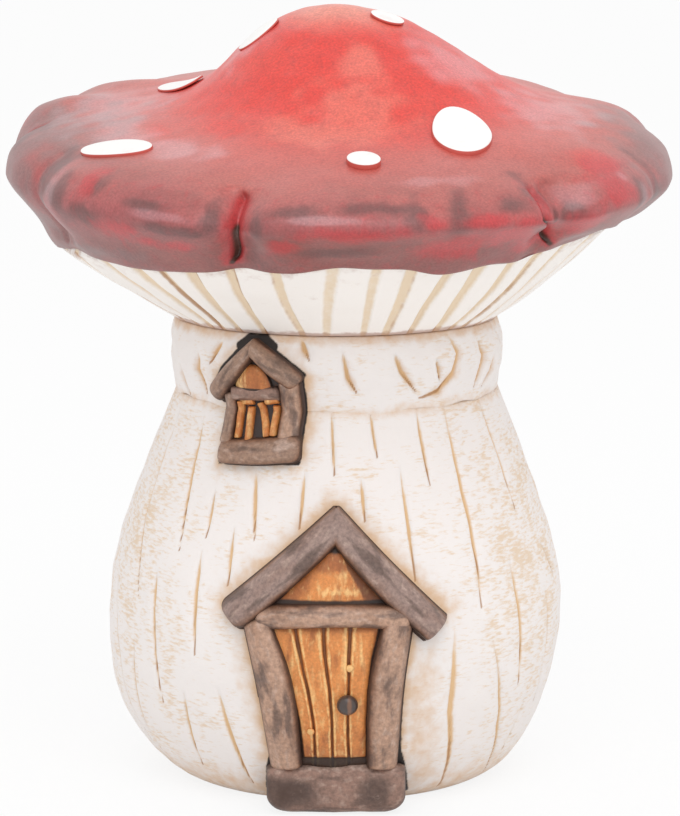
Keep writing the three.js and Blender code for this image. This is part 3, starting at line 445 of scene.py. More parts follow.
# Logs of the door and the window: finish, how round the two ends are, and stations as distances sideways,
# heights, widths and added relief in millimetres
DOOR_LOGS = {
    "left_post": ("Post timber", (2, 1), ((-24, 62, 8.4, 0), (-18.2, 41, 11.2, 0), (-14.8, 14, 9.8, 0))),
    "right_post": ("Post timber", (2, 1), ((18.6, 62, 9.2, 0), (14.9, 41, 10.6, 0), (13.8, 14, 9.4, 0))),
    "lintel": ("Post timber", (2, 2), ((-24.5, 62.4, 8, 0), (0, 63.6, 7.4, 0), (22.5, 62.6, 8, 0))),
    "left_rafter": (
        "Roof timber",
        (3.5, 0),
        ((-32.2, 61, 9.6, 1), (-15.8, 75.2, 9.6, 1.2), (0.2, 89.4, 8.8, 1.2)),
    ),
    "right_rafter": (
        "Roof timber",
        (1, 0),
        ((30.6, 57.8, 9.2, 1), (14.9, 73.3, 9.6, 1.2), (-0.2, 89.4, 8.8, 1.2)),
    ),
}
WINDOW_LOGS = {
    "left_post": ("Window timber", (1, 1), ((-11.2, 126, 4.6, 0), (-11, 111, 5, 0))),
    "right_post": ("Post timber", (1, 1), ((8.8, 131, 6.6, 0), (9, 112, 6.6, 0))),
    "header": ("Step timber", (1, 1), ((-10.6, 125.8, 4.8, 0), (6, 126.6, 4.8, 0))),
    "sill": (
        "Window timber",
        (2, 2),
        ((-12.6, 108.6, 7.2, 1.4), (0, 109.4, 7.8, 1.6), (13.4, 111, 8.2, 1.6)),
    ),
    "left_rafter": (
        "Window timber",
        (2.6, 0),
        ((-17.4, 124.2, 6.4, 1), (-10.2, 132, 6.4, 1.2), (-2.6, 139.9, 5, 1.2)),
    ),
    "right_rafter": (
        "Window timber",
        (2.4, 0),
        ((11.8, 129.8, 6.4, 1), (4.6, 135, 6.4, 1.2), (-2.6, 139.9, 5, 1.2)),
    ),
}

# Dark skirts of the logs on the wall, painted shade round their feet, in millimetres, to the left and right
# of the way each log runs
SKIRTS = {
    "left_post": (0.8, 0.2),
    "right_post": (0.4, 1.0),
    "lintel": (1.0, 0.6),
    "header": (0.6, 0.6),
    "sill": (0.5, 0.5),
    "left_rafter": (0.1, 1.0),
    "right_rafter": (1.0, 0.1),
}

# How much pale paint lies on the window sill near its right end, partly rubbed wear and partly painted
# highlight
SILL_WEAR_AND_HIGHLIGHT = 0.9

# Edges of the door leaf between the posts, as heights and distances to the left and the right in millimetres
LEAF_EDGES = (
    (14, -10.6, 9.6),
    (18.8, -10.8, 9.6),
    (30, -12, 9.6),
    (40.7, -14.4, 10.2),
    (50, -18, 11.4),
    (58, -22, 13.4),
    (61, -23.4, 14),
)

# Grooves between the planks, as shares of the leaf's width at its foot and at its head
PLANK_GROOVES = ((0.224, 0.29), (0.488, 0.527), (0.72, 0.75))

# Nails on the leaf, as distances sideways and heights in millimetres
NAILS = ((-7.6, 27.2), (4.2, 47.6))

# Ends of the bars of the casements, in the same way
CASEMENT_BARS = {
    "left": (((-7.8, 123.6), (-7.4, 112.6)), ((-4.2, 122), (-3.6, 112)), ((-8.2, 123.4), (-3, 123.8))),
    "right": (((-1, 123.6), (2.4, 113.6)), ((4.4, 123), (4.4, 114)), ((0.8, 124), (5.4, 124.8))),
}

# Height of the clay's grain
GRAIN_HEIGHT = 0.4 * MM


# Curves and irregular waves


def smooth(value, low, high):
    """0 below low, 1 above high, and an easy slope between them."""
    share = np.clip((value - low) / (high - low), 0.0, 1.0)
    return share * share * (3.0 - 2.0 * share)


def bell(value, spread):
    """1 at 0, and falling off on both sides."""
    return np.exp(-((value / spread) ** 2))


def turn_from(azimuth, middle):
    """Angle from middle to azimuth, between minus and plus half a turn."""
    return (azimuth - middle + math.pi) % math.tau - math.pi


def towards(azimuth, direction, wide):
    """1 at a direction, and falling off on both sides of it. Direction and half width are in degrees."""
    return bell(turn_from(azimuth, math.radians(direction)), math.radians(wide))


def directions(count):
    """Evenly spaced directions of a full turn, as one row."""
    return np.linspace(0.0, math.tau, count, endpoint=False)[None, :]


def bezier(start, first, second, end, count=60):
    """Points of a cubic curve."""
    share = np.linspace(0.0, 1.0, count)[:, None]
    rest = 1.0 - share
    ends = rest**3 * np.array(start) + share**3 * np.array(end)
    return ends + 3 * rest**2 * share * np.array(first) + 3 * rest * share**2 * np.array(second)


def spaced(path, count):
    """Points spaced evenly along a path."""
    path = np.asarray(path, float)
    steps = np.linalg.norm(np.diff(path, axis=0), axis=1)
    run = np.concatenate(([0.0], np.cumsum(steps)))
    at = np.linspace(0.0, run[-1], count)
    return np.stack([np.interp(at, run, column) for column in path.T], axis=1)


def flowing(stations, places):
    """A smooth curve through stations, at places from 0 at the first station to 1 at the last."""
    knots = np.asarray(stations, float)
    spans = len(knots) - 1
    knots = np.vstack((2 * knots[0] - knots[1], knots, 2 * knots[-1] - knots[-2]))
    place = np.asarray(places) * spans
    index = np.minimum(place.astype(int), spans - 1)
    share = (place - index)[:, None]
    before, start, end, after = (knots[index + step] for step in range(4))
    straight = 2 * start + (end - before) * share
    bend = (2 * before - 5 * start + 4 * end - after) * share**2
    twist = (3 * start - before - 3 * end + after) * share**3
    return 0.5 * (straight + bend + twist)


def waves(points, wavelength, seed, terms=14):
    """Smooth irregular waves through space, about -1 to 1."""
    draw = np.random.default_rng(seed)
    total = np.zeros(points.shape[:-1])
    for _ in range(terms):
        heading = draw.normal(size=3)
        heading *= math.tau / (wavelength * draw.uniform(0.7, 1.6) * np.linalg.norm(heading))
        total += np.sin(points @ heading + draw.uniform(0.0, math.tau))
    return total * 0.85 / math.sqrt(terms)


def around(radius, azimuth, height):
    """Points at a radius, a direction from the door and a height."""
    radius, azimuth, height = np.broadcast_arrays(radius, azimuth, height)
    return np.stack((radius * np.sin(azimuth), -radius * np.cos(azimuth), height), axis=-1)


def outward(profile):
    """Unit normals of an outline that runs upwards on the outside, as distances and heights."""
    along = np.gradient(profile, axis=0)
    along /= np.linalg.norm(along, axis=1)[:, None]
    return np.stack((along[:, 1], -along[:, 0]), axis=1)


# Meshes


def shell(rings, marks, joined=False):
    """Faces of one closed body from rings of points. Joined rings close on the first one; otherwise a point
    in the middle closes each end. Marks are named values for each point."""
    rows, columns = rings.shape[:2]
    row = np.arange(rows if joined else rows - 1)[:, None]
    column = np.arange(columns)[None, :]
    next_row = (row + 1) % rows
    next_column = (column + 1) % columns
    corners = (
        row * columns + column,
        row * columns + next_column,
        next_row * columns + next_column,
        next_row * columns + column,
    )
    quads = np.stack(corners, axis=-1).reshape(-1, 4)
    points = rings.reshape(-1, 3)
    values = {name: np.broadcast_to(mark, (rows, columns)).reshape(-1) for name, mark in marks.items()}
    fans = np.empty((0, 3), int)
    if not joined:
        first = column[0]
        last = (rows - 1) * columns
        head = np.full(columns, len(points))
        starts = np.stack((head, next_column[0], first), axis=1)
        ends = np.stack((head + 1, last + first, last + next_column[0]), axis=1)
        fans = np.concatenate((starts, ends))
        points = np.vstack((points, rings[0].mean(axis=0), rings[-1].mean(axis=0)))
        for name, mark in values.items():
            values[name] = np.append(mark, (mark[:columns].mean(), mark[last:].mean()))
    halves = np.concatenate((quads[:, :3], quads[:, [0, 2, 3]], fans))
    one, two, three = (points[halves[:, corner]] for corner in range(3))
    if np.einsum("ij,ij->i", one, np.cross(two, three)).sum() < 0.0:
        quads, fans = quads[:, ::-1], fans[:, ::-1]
    return points, quads, fans, values


def add_piece(name, shells, finish_name, slot, *nodes):
    """One smooth mesh object from closed bodies, which stands for CAD nodes, hides them and hangs under the
    root body.
    """
    counts = np.cumsum([0] + [len(body[0]) for body in shells])
    points = np.vstack([body[0] for body in shells])
    quads = np.vstack([body[1] + start for body, start in zip(shells, counts)])
    fans = np.vstack([body[2] + start for body, start in zip(shells, counts)])
    corners = np.concatenate((quads.ravel(), fans.ravel()))
    starts = np.concatenate((np.arange(len(quads)) * 4, len(quads) * 4 + np.arange(len(fans)) * 3))
    mesh = bpy.data.meshes.new(name)
    mesh.vertices.add(len(points))
    mesh.vertices.foreach_set("co", points.astype(np.float32).ravel())
    mesh.loops.add(len(corners))
    mesh.loops.foreach_set("vertex_index", corners.astype(np.int32))
    mesh.polygons.add(len(starts))
    mesh.polygons.foreach_set("loop_start", starts.astype(np.int32))
    mesh.polygons.foreach_set("use_smooth", np.ones(len(starts), bool))
    for label in shells[0][3]:
        values = np.concatenate([body[3][label] for body in shells])
        mesh.attributes.new(label, "FLOAT", "POINT").data.foreach_set("value", values.astype(np.float32))
    mesh.update(calc_edges=True)
    if mesh.validate():
        raise RuntimeError(f"{name} has faces that don't hold together")
    mesh.materials.append(finish(finish_name))
    piece = bpy.data.objects.new(name, mesh)
    bpy.context.scene.collection.objects.link(piece)
    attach(piece, "root")
    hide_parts(*nodes)
    return piece


# Shader nodes


class Tree:
    """A shader node tree with short calls that add, feed and join its nodes."""

    def __init__(self, tree):
        self.tree = tree

    def feed(self, socket, value):
        """Joins an output to a socket, or sets the socket's own value."""
        if isinstance(value, bpy.types.NodeSocket):
            self.tree.links.new(value, socket)
        elif socket.type == "RGBA" and len(value) == 3:
            socket.default_value = (*value, 1.0)
        else:
            socket.default_value = value

    def add(self, kind, inputs=None, **settings):
        """A new node with its settings and inputs."""
        node = self.tree.nodes.new("ShaderNode" + kind)
        for name, value in settings.items():
            setattr(node, name, value)
        for name, value in (inputs or {}).items():
            self.feed(node.inputs[name], value)
        return node

    def sum(self, operation, first, second):
        """One step of arithmetic."""
        return self.add("Math", {0: first, 1: second}, operation=operation).outputs[0]

    def fade(self, value, low, high, bottom=0.0, top=1.0):
        """An easy slope from bottom at low to top at high."""
        inputs = {"Value": value, "From Min": low, "From Max": high, "To Min": bottom, "To Max": top}
        return self.add("MapRange", inputs, interpolation_type="SMOOTHSTEP").outputs[0]

    def blend(self, share, first, second, way="MIX"):
        """A mix of two colours."""
        node = self.add("Mix", data_type="RGBA", blend_type=way)
        self.feed(node.inputs[0], share)
        self.feed(node.inputs[6], first)
        self.feed(node.inputs[7], second)
        return node.outputs[2]

    def mark(self, name):
        """A value that the mesh holds for each point."""
        return self.add("Attribute", attribute_type="GEOMETRY", attribute_name=name).outputs["Fac"]

    def noise(self, across, up, detail=3.0, roughness=0.55):
        """Noise on the object's own coordinates, with one scale on the level and one upwards."""
        place = self.add("TexCoord").outputs["Object"]
        parts = self.add("SeparateXYZ", {0: place})
        scaled = self.add("CombineXYZ")
        for axis, scale in zip("XYZ", (across, across, up)):
            self.feed(scaled.inputs[axis], self.sum("MULTIPLY", parts.outputs[axis], scale))
        inputs = {"Vector": scaled.outputs[0], "Scale": 1.0, "Detail": detail, "Roughness": roughness}
        return self.add("TexNoise", inputs).outputs[0]

    def streaks(self, along, across, detail=3.0):
        """Noise that runs along a log, on the places that its points hold."""
        place = self.add("CombineXYZ")
        for axis, name, scale in (("X", "run", along), ("Y", "girth", across)):
            self.feed(place.inputs[axis], self.sum("MULTIPLY", self.mark(name), scale))
        return self.add("TexNoise", {"Vector": place.outputs[0], "Scale": 1.0, "Detail": detail}).outputs[0]

    def sway(self, noise, strength):
        """Noise as a shift to both sides of 0."""
        return self.sum("MULTIPLY", self.sum("SUBTRACT", noise, 0.5), strength)

    def effect(self, name, **inputs):
        """The result of a shared effect with this material's own values."""
        node = self.add("Group", node_tree=shared_effect(name))
        for label, value in inputs.items():
            self.feed(node.inputs[label], value)
        return node.outputs[0]

    def wash(self, coat, tone, hollow, **settings):
        """A coat with thin paint in its hollows, which are the name of a mark or a value."""
        level = self.mark(hollow) if isinstance(hollow, str) else hollow
        return self.effect("Hollow wash", Color=coat, Wash=tone, Hollow=level, **settings)

    def mottle(self, coat, patch, across, up, cover, soft):
        """A coat with soft patches of a second paint."""
        return self.effect("Mottle", Color=coat, Patch=patch, Across=across, Up=up, Cover=cover, Soft=soft)

    def flecks(self, tone, ground, bare, across, up):
        """A paint brushed over a ground that shows through in flecks."""
        return self.effect("Brush flecks", Paint=tone, Ground=ground, Bare=bare, Across=across, Up=up)


# Shared paint effects


def new_effect(name, result, **inputs):
    """An empty node group with named sockets, as its tree, its inputs and the socket of its result."""
    group = bpy.data.node_groups.new(name, "ShaderNodeTree")
    for label, value in inputs.items():
        coloured = isinstance(value, tuple)
        kind = "NodeSocketColor" if coloured else "NodeSocketFloat"
        socket = group.interface.new_socket(label, in_out="INPUT", socket_type=kind)
        socket.default_value = (*value, 1.0) if coloured else value
    kind = "NodeSocketColor" if result == "Color" else "NodeSocketFloat"
    group.interface.new_socket(result, in_out="OUTPUT", socket_type=kind)
    start = group.nodes.new("NodeGroupInput").outputs
    end = group.nodes.new("NodeGroupOutput").inputs[result]
    return Tree(group), start, end


def make_clay_grain(name):
    """Sandy grain and soft dents of hand-worked clay, as a height."""
    tree, start, end = new_effect(name, "Height", Scale=900.0, Dents=0.5)
    grain = tree.noise(start["Scale"], start["Scale"], 4.0, 0.65)
    dents = tree.sum("MULTIPLY", tree.noise(170.0, 170.0, 2.0), start["Dents"])
    tree.feed(end, tree.sum("ADD", grain, dents))
    return tree.tree


def make_brush_flecks(name):
    """Paint dragged over a rough ground with a dry brush, so that the ground shows in flecks."""
    paints = {"Paint": (1.0, 1.0, 1.0), "Ground": (0.7, 0.5, 0.4)}
    tree, start, end = new_effect(name, "Color", **paints, Bare=0.4, Across=150.0, Up=900.0)
    flecks = tree.sum("MULTIPLY", tree.noise(start["Across"], start["Up"], 4.0, 0.6), 0.9)
    broad = tree.sum("MULTIPLY", tree.noise(90.0, 90.0, 2.0), 0.5)
    low = tree.sum("SUBTRACT", 0.95, tree.sum("MULTIPLY", start["Bare"], 0.5))
    mask = tree.fade(tree.sum("ADD", flecks, broad), low, tree.sum("ADD", low, 0.25))
    tree.feed(end, tree.blend(mask, start["Paint"], start["Ground"]))
    return tree.tree


def make_hollow_wash(name):
    """Thin paint that stays in hollows or brushed patches and breaks up at their edges."""
    inputs = {"Color": (1.0, 1.0, 1.0), "Wash": (0.5, 0.3, 0.2), "Hollow": 0.0, "Ragged": 0.4}
    inputs |= {"Across": 400.0, "Up": 400.0, "Cover": 1.0, "Soft": 0.65}
    tree, start, end = new_effect(name, "Color", **inputs)
    broken = tree.sway(tree.noise(start["Across"], start["Up"]), start["Ragged"])
    level = tree.sum("ADD", start["Hollow"], broken)
    low = tree.sum("SUBTRACT", 0.475, tree.sum("MULTIPLY", start["Soft"], 0.5))
    full = tree.fade(level, low, tree.sum("ADD", low, start["Soft"]))
    mask = tree.sum("MULTIPLY", full, start["Cover"])
    tree.feed(end, tree.blend(mask, start["Color"], start["Wash"]))
    return tree.tree


def make_paint_grain(name):
    """Fine grain that makes a paint a little darker and lighter from place to place."""
    tree, start, end = new_effect(name, "Color", Color=(0.5, 0.5, 0.5), Scale=1500.0, Strength=0.6)
    grain = tree.sway(tree.noise(start["Scale"], start["Scale"], 2.0, 0.6), start["Strength"])
    level = tree.sum("ADD", 1.0, grain)
    tree.feed(end, tree.blend(1.0, start["Color"], level, "MULTIPLY"))
    return tree.tree


def make_mottle(name):
    """Soft patches of a second paint."""
    paints = {"Color": (0.5, 0.1, 0.1), "Patch": (0.2, 0.1, 0.1)}
    tree, start, end = new_effect(name, "Color", **paints, Across=60.0, Up=60.0, Cover=0.4, Soft=0.2)
    low = tree.sum("SUBTRACT", 0.75, tree.sum("MULTIPLY", start["Cover"], 0.5))
    high = tree.sum("ADD", low, start["Soft"])
    mask = tree.fade(tree.noise(start["Across"], start["Up"], 3.0), low, high)
    tree.feed(end, tree.blend(mask, start["Color"], start["Patch"]))
    return tree.tree


EFFECTS = {
    "Clay grain": make_clay_grain,
    "Brush flecks": make_brush_flecks,
    "Hollow wash": make_hollow_wash,
    "Paint grain": make_paint_grain,
    "Mottle": make_mottle,
}


def shared_effect(name):
    """A shared effect, made the first time it is asked for."""
    return bpy.data.node_groups.get(name) or EFFECTS[name](name)


# Finishes


class Finish(Tree):
    """A material with clay grain in its bump, painted in layers."""

    def __init__(self, name, roughness, grain, bump, dents=0.5, **settings):
        self.material = bpy.data.materials.new(name)
        self.material.use_nodes = True
        super().__init__(self.material.node_tree)
        self.shader = self.tree.nodes["Principled BSDF"].inputs
        self.shader["Roughness"].default_value = roughness
        for label, value in settings.items():
            self.shader[label.replace("_", " ").title()].default_value = value
        height = self.effect("Clay grain", Scale=grain, Dents=dents)
        bumped = self.add("Bump", {"Height": height, "Strength": bump, "Distance": GRAIN_HEIGHT})
        self.feed(self.shader["Normal"], bumped.outputs[0])

    def painted(self, coat):
        """The material, with its last coat."""
        self.feed(self.shader["Base Color"], coat)
        return self.material


def whitewash(name, paints):
    """White brushed over cream clay, with ochre in the cut lines, a tan wash in corners, black painted shade
    round the frames and more clay showing towards the stem's sides as painted shade.
    """
    clay = Finish(name, 0.62, 600.0, 0.45)
    halo = clay.sum("MULTIPLY", clay.mark("wash"), 0.75)
    coat = clay.flecks(paints.whitewash, paints.biscuit, clay.mark("bare"), 330.0, 1300.0)
    coat = clay.wash(coat, paints.tan, halo, Ragged=0.7, Across=240.0, Up=240.0)
    coat = clay.wash(coat, paints.ochre, "line", Ragged=0.5)
    coat = clay.wash(coat, paints.line_brown, "core", Ragged=0.7, Up=160.0, Cover=0.8)
    return clay.painted(clay.wash(coat, paints.shadow_black, "shade", Ragged=0.9))


def gill_paint(name, paints):
    """White ribs over ochre grooves."""
    clay = Finish(name, 0.6, 700.0, 0.2)
    coat = clay.flecks(paints.gill_white, paints.biscuit, 0.15, 120.0, 300.0)
    coat = clay.wash(coat, paints.gill_tan, "line", Ragged=0.7, Soft=0.9)
    coat = clay.wash(coat, paints.line_brown, "core", Ragged=0.9, Across=160.0, Up=160.0, Cover=0.75)
    coat = clay.wash(coat, paints.plank_brown, "wash", Ragged=1.3, Across=260.0, Up=260.0, Cover=0.55)
    return clay.painted(coat)


def varnished_red(name, paints):
    """Varnished red that fades to a dusty brim, with a rim brushed with brown and crimson, painted shade in
    its slits and creases, and a painted sheen and painted highlights on the varnish and the dome.
    """
    cap = Finish(name, 0.45, 1100.0, 0.12, dents=0.8, coat_weight=0.25, coat_roughness=0.3)
    sway = cap.sway(cap.noise(26.0, 26.0, 2.0), 0.14)
    ramp = cap.add("ValToRGB", {"Fac": cap.sum("ADD", cap.mark("fall"), sway)})
    tones = (
        (0.04, paints.dome_coral),
        (0.15, paints.cap_red),
        (0.38, paints.cap_red),
        (0.5, paints.brim_red),
        (0.66, paints.rim_top),
        (0.8, paints.rim_red),
        (0.92, paints.rim_low),
    )
    stops = ramp.color_ramp.elements
    for index, (place, tone) in enumerate(tones):
        stop = stops[index] if index < 2 else stops.new(place)
        stop.position, stop.color = place, (*tone, 1.0)
    rim = cap.fade(cap.mark("fall"), 0.56, 0.74)
    coat = ramp.outputs[0]
    brown = cap.mottle(coat, paints.rim_brown, 42.0, 36.0, 0.55, 0.3)
    coat = cap.blend(cap.sum("MULTIPLY", rim, 0.55), coat, brown)
    red = cap.mottle(coat, paints.brush_red, 380.0, 110.0, 0.5, 0.35)
    coat = cap.blend(cap.sum("MULTIPLY", rim, 0.45), coat, red)
    # Layers, of brushed colour and of painted light: mark, paint, how ragged it is, scales across and up,
    # cover and softness. The coral, sheen and glare layers are painted highlight; the slit layer and part of
    # the brown dabs are painted shade
    layers = (
        ("coral", paints.dome_coral, 0.9, 60.0, 60.0, 0.48, 1.2),
        ("red", paints.cap_red, 0.9, 90.0, 90.0, 0.6, 1.0),
        ("dusk", paints.rim_grey, 0.7, 160.0, 60.0, 0.7, 1.0),
        ("brown_dabs_and_shade", paints.rim_brown, 1.1, 330.0, 120.0, 0.8, 1.1),
        ("crimson", paints.brush_red, 1.1, 330.0, 120.0, 0.68, 1.1),
        ("painted_sheen", paints.sheen, 0.6, 60.0, 90.0, 0.32, 1.2),
        ("glare", paints.sheen, 0.8, 90.0, 300.0, 0.17, 1.0),
        ("valley", paints.brush_red, 0.9, 300.0, 60.0, 0.6, 0.9),
        ("slit", paints.umber_shade, 0.5, 400.0, 150.0, 0.95, 0.6),
    )
    for mark, tone, ragged, across, up, cover, soft in layers:
        coat = cap.wash(coat, tone, mark, Ragged=ragged, Across=across, Up=up, Cover=cover, Soft=soft)
    return cap.painted(cap.effect("Paint grain", Color=coat, Scale=1300.0, Strength=0.8))


def spot_paint(name, paints):
    """White tops on red sides."""
    spot = Finish(name, 0.5, 900.0, 0.15)
    white = spot.flecks(paints.spot_white, paints.whitewash, 0.4, 200.0, 200.0)
    top = spot.fade(spot.mark("top"), 0.35, 0.6)
    return spot.painted(spot.blend(top, paints.brim_red, white))


# Paints of the logs' crests and slopes
TIMBERS = {
    "Roof timber": ("timber", "timber_warm"),
    "Step timber": ("step", "timber_dark"),
    "Post timber": ("post", "timber_warm"),
    "Window timber": ("window_timber", "timber_warm"),
}


def timber(name, paints):
    """Painted logs with a paler crest, partly rubbed wear and partly painted highlight, browner slopes,
    streaks along them and umber painted shade where they meet the wall.
    """
    wood = Finish(name, 0.5, 620.0, 0.5)
    crest_paint, slope_paint = (getattr(paints, tone) for tone in TIMBERS[name])
    crest = wood.fade(wood.mark("raise"), 0.5, 0.98)
    sway = wood.sway(wood.streaks(70.0, 160.0), 1.6)
    coat = wood.blend(wood.sum("ADD", crest, sway), slope_paint, crest_paint)
    # Pale streaks on the crest, partly rubbed wear and partly painted highlight
    rubbed_and_highlit = wood.fade(wood.streaks(300.0, 620.0, 4.0), 0.5, 0.68)
    rubbed_and_highlit = wood.sum("MULTIPLY", wood.sum("MULTIPLY", rubbed_and_highlit, crest), 0.5)
    coat = wood.blend(rubbed_and_highlit, coat, paints.timber_pale)
    stain = wood.fade(wood.streaks(80.0, 260.0, 4.0), 0.48, 0.66, 0.0, 0.8)
    coat = wood.blend(stain, coat, paints.timber_dark)
    coat = wood.wash(coat, paints.timber_pale, "wear_and_highlight", Ragged=1.6, Across=500.0, Up=700.0, Cover=0.8)
    coat = wood.effect("Paint grain", Color=coat, Scale=900.0, Strength=1.1)
    # Painted shade: umber where the logs meet the wall and on their skirts
    low = wood.fade(wood.mark("raise"), 0.85, 0.25)
    return wood.painted(wood.wash(coat, paints.umber_shade, low, Ragged=0.8, Soft=0.8))


def gilded_planks(name, paints):
    """Golden orange panels with pale lines beside brown grooves, a brown wash along the edges and black
    painted shade in their corners and gaps.
    """
    planks = Finish(name, 0.45, 620.0, 0.3)
    coat = planks.mottle(paints.plank, paints.plank_gold, 420.0, 90.0, 0.5, 0.3)
    coat = planks.mottle(coat, paints.plank_brown, 300.0, 90.0, 0.5, 0.35)
    coat = planks.wash(coat, paints.plank_brown, "edge", Ragged=0.8, Across=300.0, Up=200.0, Cover=0.8)
    coat = planks.wash(coat, paints.plank_gold, "lip", Ragged=2.2, Across=700.0, Up=260.0, Cover=0.8)
    coat = planks.wash(coat, paints.groove_brown, "line", Ragged=1.2, Across=500.0, Up=200.0, Cover=0.85)
    coat = planks.wash(coat, paints.shadow_black, "shade", Ragged=0.5, Cover=0.95)
    return planks.painted(planks.effect("Paint grain", Color=coat, Scale=1200.0, Strength=0.7))


def shaded_recess(name, paints):
    """Dark sheet behind the casements, painted shade of the window's hollow."""
    recess = Finish(name, 0.6, 620.0, 0.4)
    return recess.painted(recess.mottle(paints.recess, paints.plank_brown, 260.0, 140.0, 0.45, 0.3))


def glinting_iron(name, paints):
    """Dark knob with a painted glint of brown on its crest."""
    iron = Finish(name, 0.38, 900.0, 0.3, coat_weight=0.3)
    return iron.painted(iron.wash(paints.knob, paints.timber_warm, "rubbed_and_highlit", Ragged=0.9, Cover=0.8))


FINISHES = {
    "Whitewashed clay": whitewash,
    "Gilled clay": gill_paint,
    "Varnished red": varnished_red,
    "Spot white": spot_paint,
    "Gilded panel": gilded_planks,
    "Shaded recess": shaded_recess,
    "Glinting iron": glinting_iron,
    **dict.fromkeys(TIMBERS, timber),
}


def finish(name):
    """A material, made the first time it is asked for."""
    return bpy.data.materials.get(name) or FINISHES[name](name, bpy.context.scene.toadstool_paints)


# Stem, collar and dish


def stem_outline(sizes):
    """Outside of the stem from its foot to the shoulder, as distances from the axis and heights."""
    foot, belly, level = sizes.foot_radius, sizes.belly_radius, sizes.belly_height
    shoulder, top = sizes.shoulder_radius, sizes.shoulder_height
    above_foot, below_shoulder = (foot + 12.5 * MM, 3 * MM), (shoulder + 8 * MM, top - 20 * MM)
    lower = bezier((foot, 0.0), above_foot, (belly, level - BELLY_FULLNESS), (belly, level))
    upper = bezier((belly, level), (belly, level + BELLY_FULLNESS), below_shoulder, (shoulder, top))
    return np.vstack((lower, upper[1:]))


def collar_outline(sizes):
    """Outside of the collar, which steps out quickly from the shoulder."""
    share = np.linspace(0.0, 1.0, 40)
    height = sizes.shoulder_height + (sizes.collar_top - sizes.shoulder_height) * share
    radius = sizes.shoulder_radius + sizes.collar_bulge * np.sin(math.pi * share**1.2) ** 0.9
    return np.stack((radius, height), axis=1)


def wall_radius(height, sizes):
    """Radius of the stem and collar at a height."""
    outline = np.vstack((stem_outline(sizes), collar_outline(sizes)[1:]))
    return np.interp(height, outline[:, 1], outline[:, 0])


def cut_lines(azimuth, height, radius, lines):
    """How deep points lie in cut lines, how near they are to one, and how dark its core is, each 0 to 1."""
    depth, near, core = np.zeros((3, *np.broadcast(azimuth, height).shape))
    for width, *points in lines:
        path = np.array(points) * (math.radians(1.0), MM)
        spans = len(path) - 1
        for index, (start, end) in enumerate(zip(path, path[1:])):
            side, rise = turn_from(azimuth, start[0]) * radius, height - start[1]
            reach, drop = (end[0] - start[0]) * radius, end[1] - start[1]
            share = np.clip((side * reach + rise * drop) / (reach**2 + drop**2), 0.0, 1.0)
            gap = np.hypot(side - share * reach, rise - share * drop)
            run = (index + share) / spans
            taper = np.sin(math.pi * np.clip(run, 0.03, 0.97)) ** 0.5
            half = width * MM / 2 * (0.5 + 0.5 * taper)
            depth = np.maximum(depth, (1.0 - smooth(gap, 0.1 * half, 1.15 * half)) * taper)
            near = np.maximum(near, (1.0 - smooth(gap, 0.0, 3.2 * half)) * taper)
            dark = (1.0 - smooth(gap, 0.1 * half, 0.5 * half)) * smooth(run, 0.35, 0.85)
            core = np.maximum(core, dark)
    return depth, near, core


def unseen_lines(seed, low, high, step):
    """Lines like those in front for the sides and the back, between two heights in millimetres."""
    draw = np.random.default_rng(seed)
    lines = []
    for direction in np.arange(86.0, 272.0, step):
        head = high
        while head - low > 18.0:
            head -= draw.uniform(0.0, 0.25 * (high - low))
            foot = max(head - draw.uniform(0.2, 0.6) * (high - low), low)
            azimuth = direction + draw.uniform(-0.3, 0.3) * step
            lean = draw.uniform(-3.0, 3.0)
            lines.append((draw.uniform(1.2, 2.1), (azimuth, head), (azimuth + lean, foot)))
            head = foot - draw.uniform(3.0, 14.0)
    return lines


def path_gap(side, height, points):
    """Distance on the wall from a path through points in millimetres."""
    path = np.array(points) * MM
    gap = np.full(np.shape(side), np.inf)
    for start, reach in zip(path, np.diff(path, axis=0)):
        aside, rise = side - start[0], height - start[1]
        share = np.clip((aside * reach[0] + rise * reach[1]) / (reach @ reach), 0.0, 1.0)
        gap = np.minimum(gap, np.hypot(aside - share * reach[0], rise - share * reach[1]))
    return gap


def frame_paint(radius, azimuth, height, frames):
    """How much tan and how much black lie on the wall round frames, each 0 to 1; the black is painted shade.
    A frame is its direction, its outline and its dark corners."""
    halo, shade = np.zeros((2, *np.broadcast(azimuth, height).shape))
    for direction, outline, corners in frames:
        side = radius * np.sin(azimuth - direction)
        facing = smooth(np.cos(azimuth - direction), 0.0, 0.4)
        near = np.exp(-path_gap(side, height, (*outline, outline[0])) / FRAME_HALO)
        halo = np.maximum(halo, near * facing)
        for width, *points in corners:
            gap = path_gap(side, height, points)
            dark = 1.0 - smooth(gap, 0.25 * width * MM, 0.75 * width * MM)
            shade = np.maximum(shade, dark * facing)
    return halo, shade


def plain_rings(profile, azimuth):
    """Rings round the axis at pairs of radius and height."""
    return [around(radius, azimuth[0], height)[None] for radius, height in profile]


def padded(marks, before, after, carried=None):
    """Marks with values for the rings before and after the skin: those of the nearest ring for the marks that
    are carried on, which are all if none are named, and 0 for others."""
    values = {}
    for name, mark in marks.items():
        mode = "edge" if carried is None or name in carried else "constant"
        values[name] = np.pad(mark, ((before, after), (0, 0)), mode=mode)
    return values


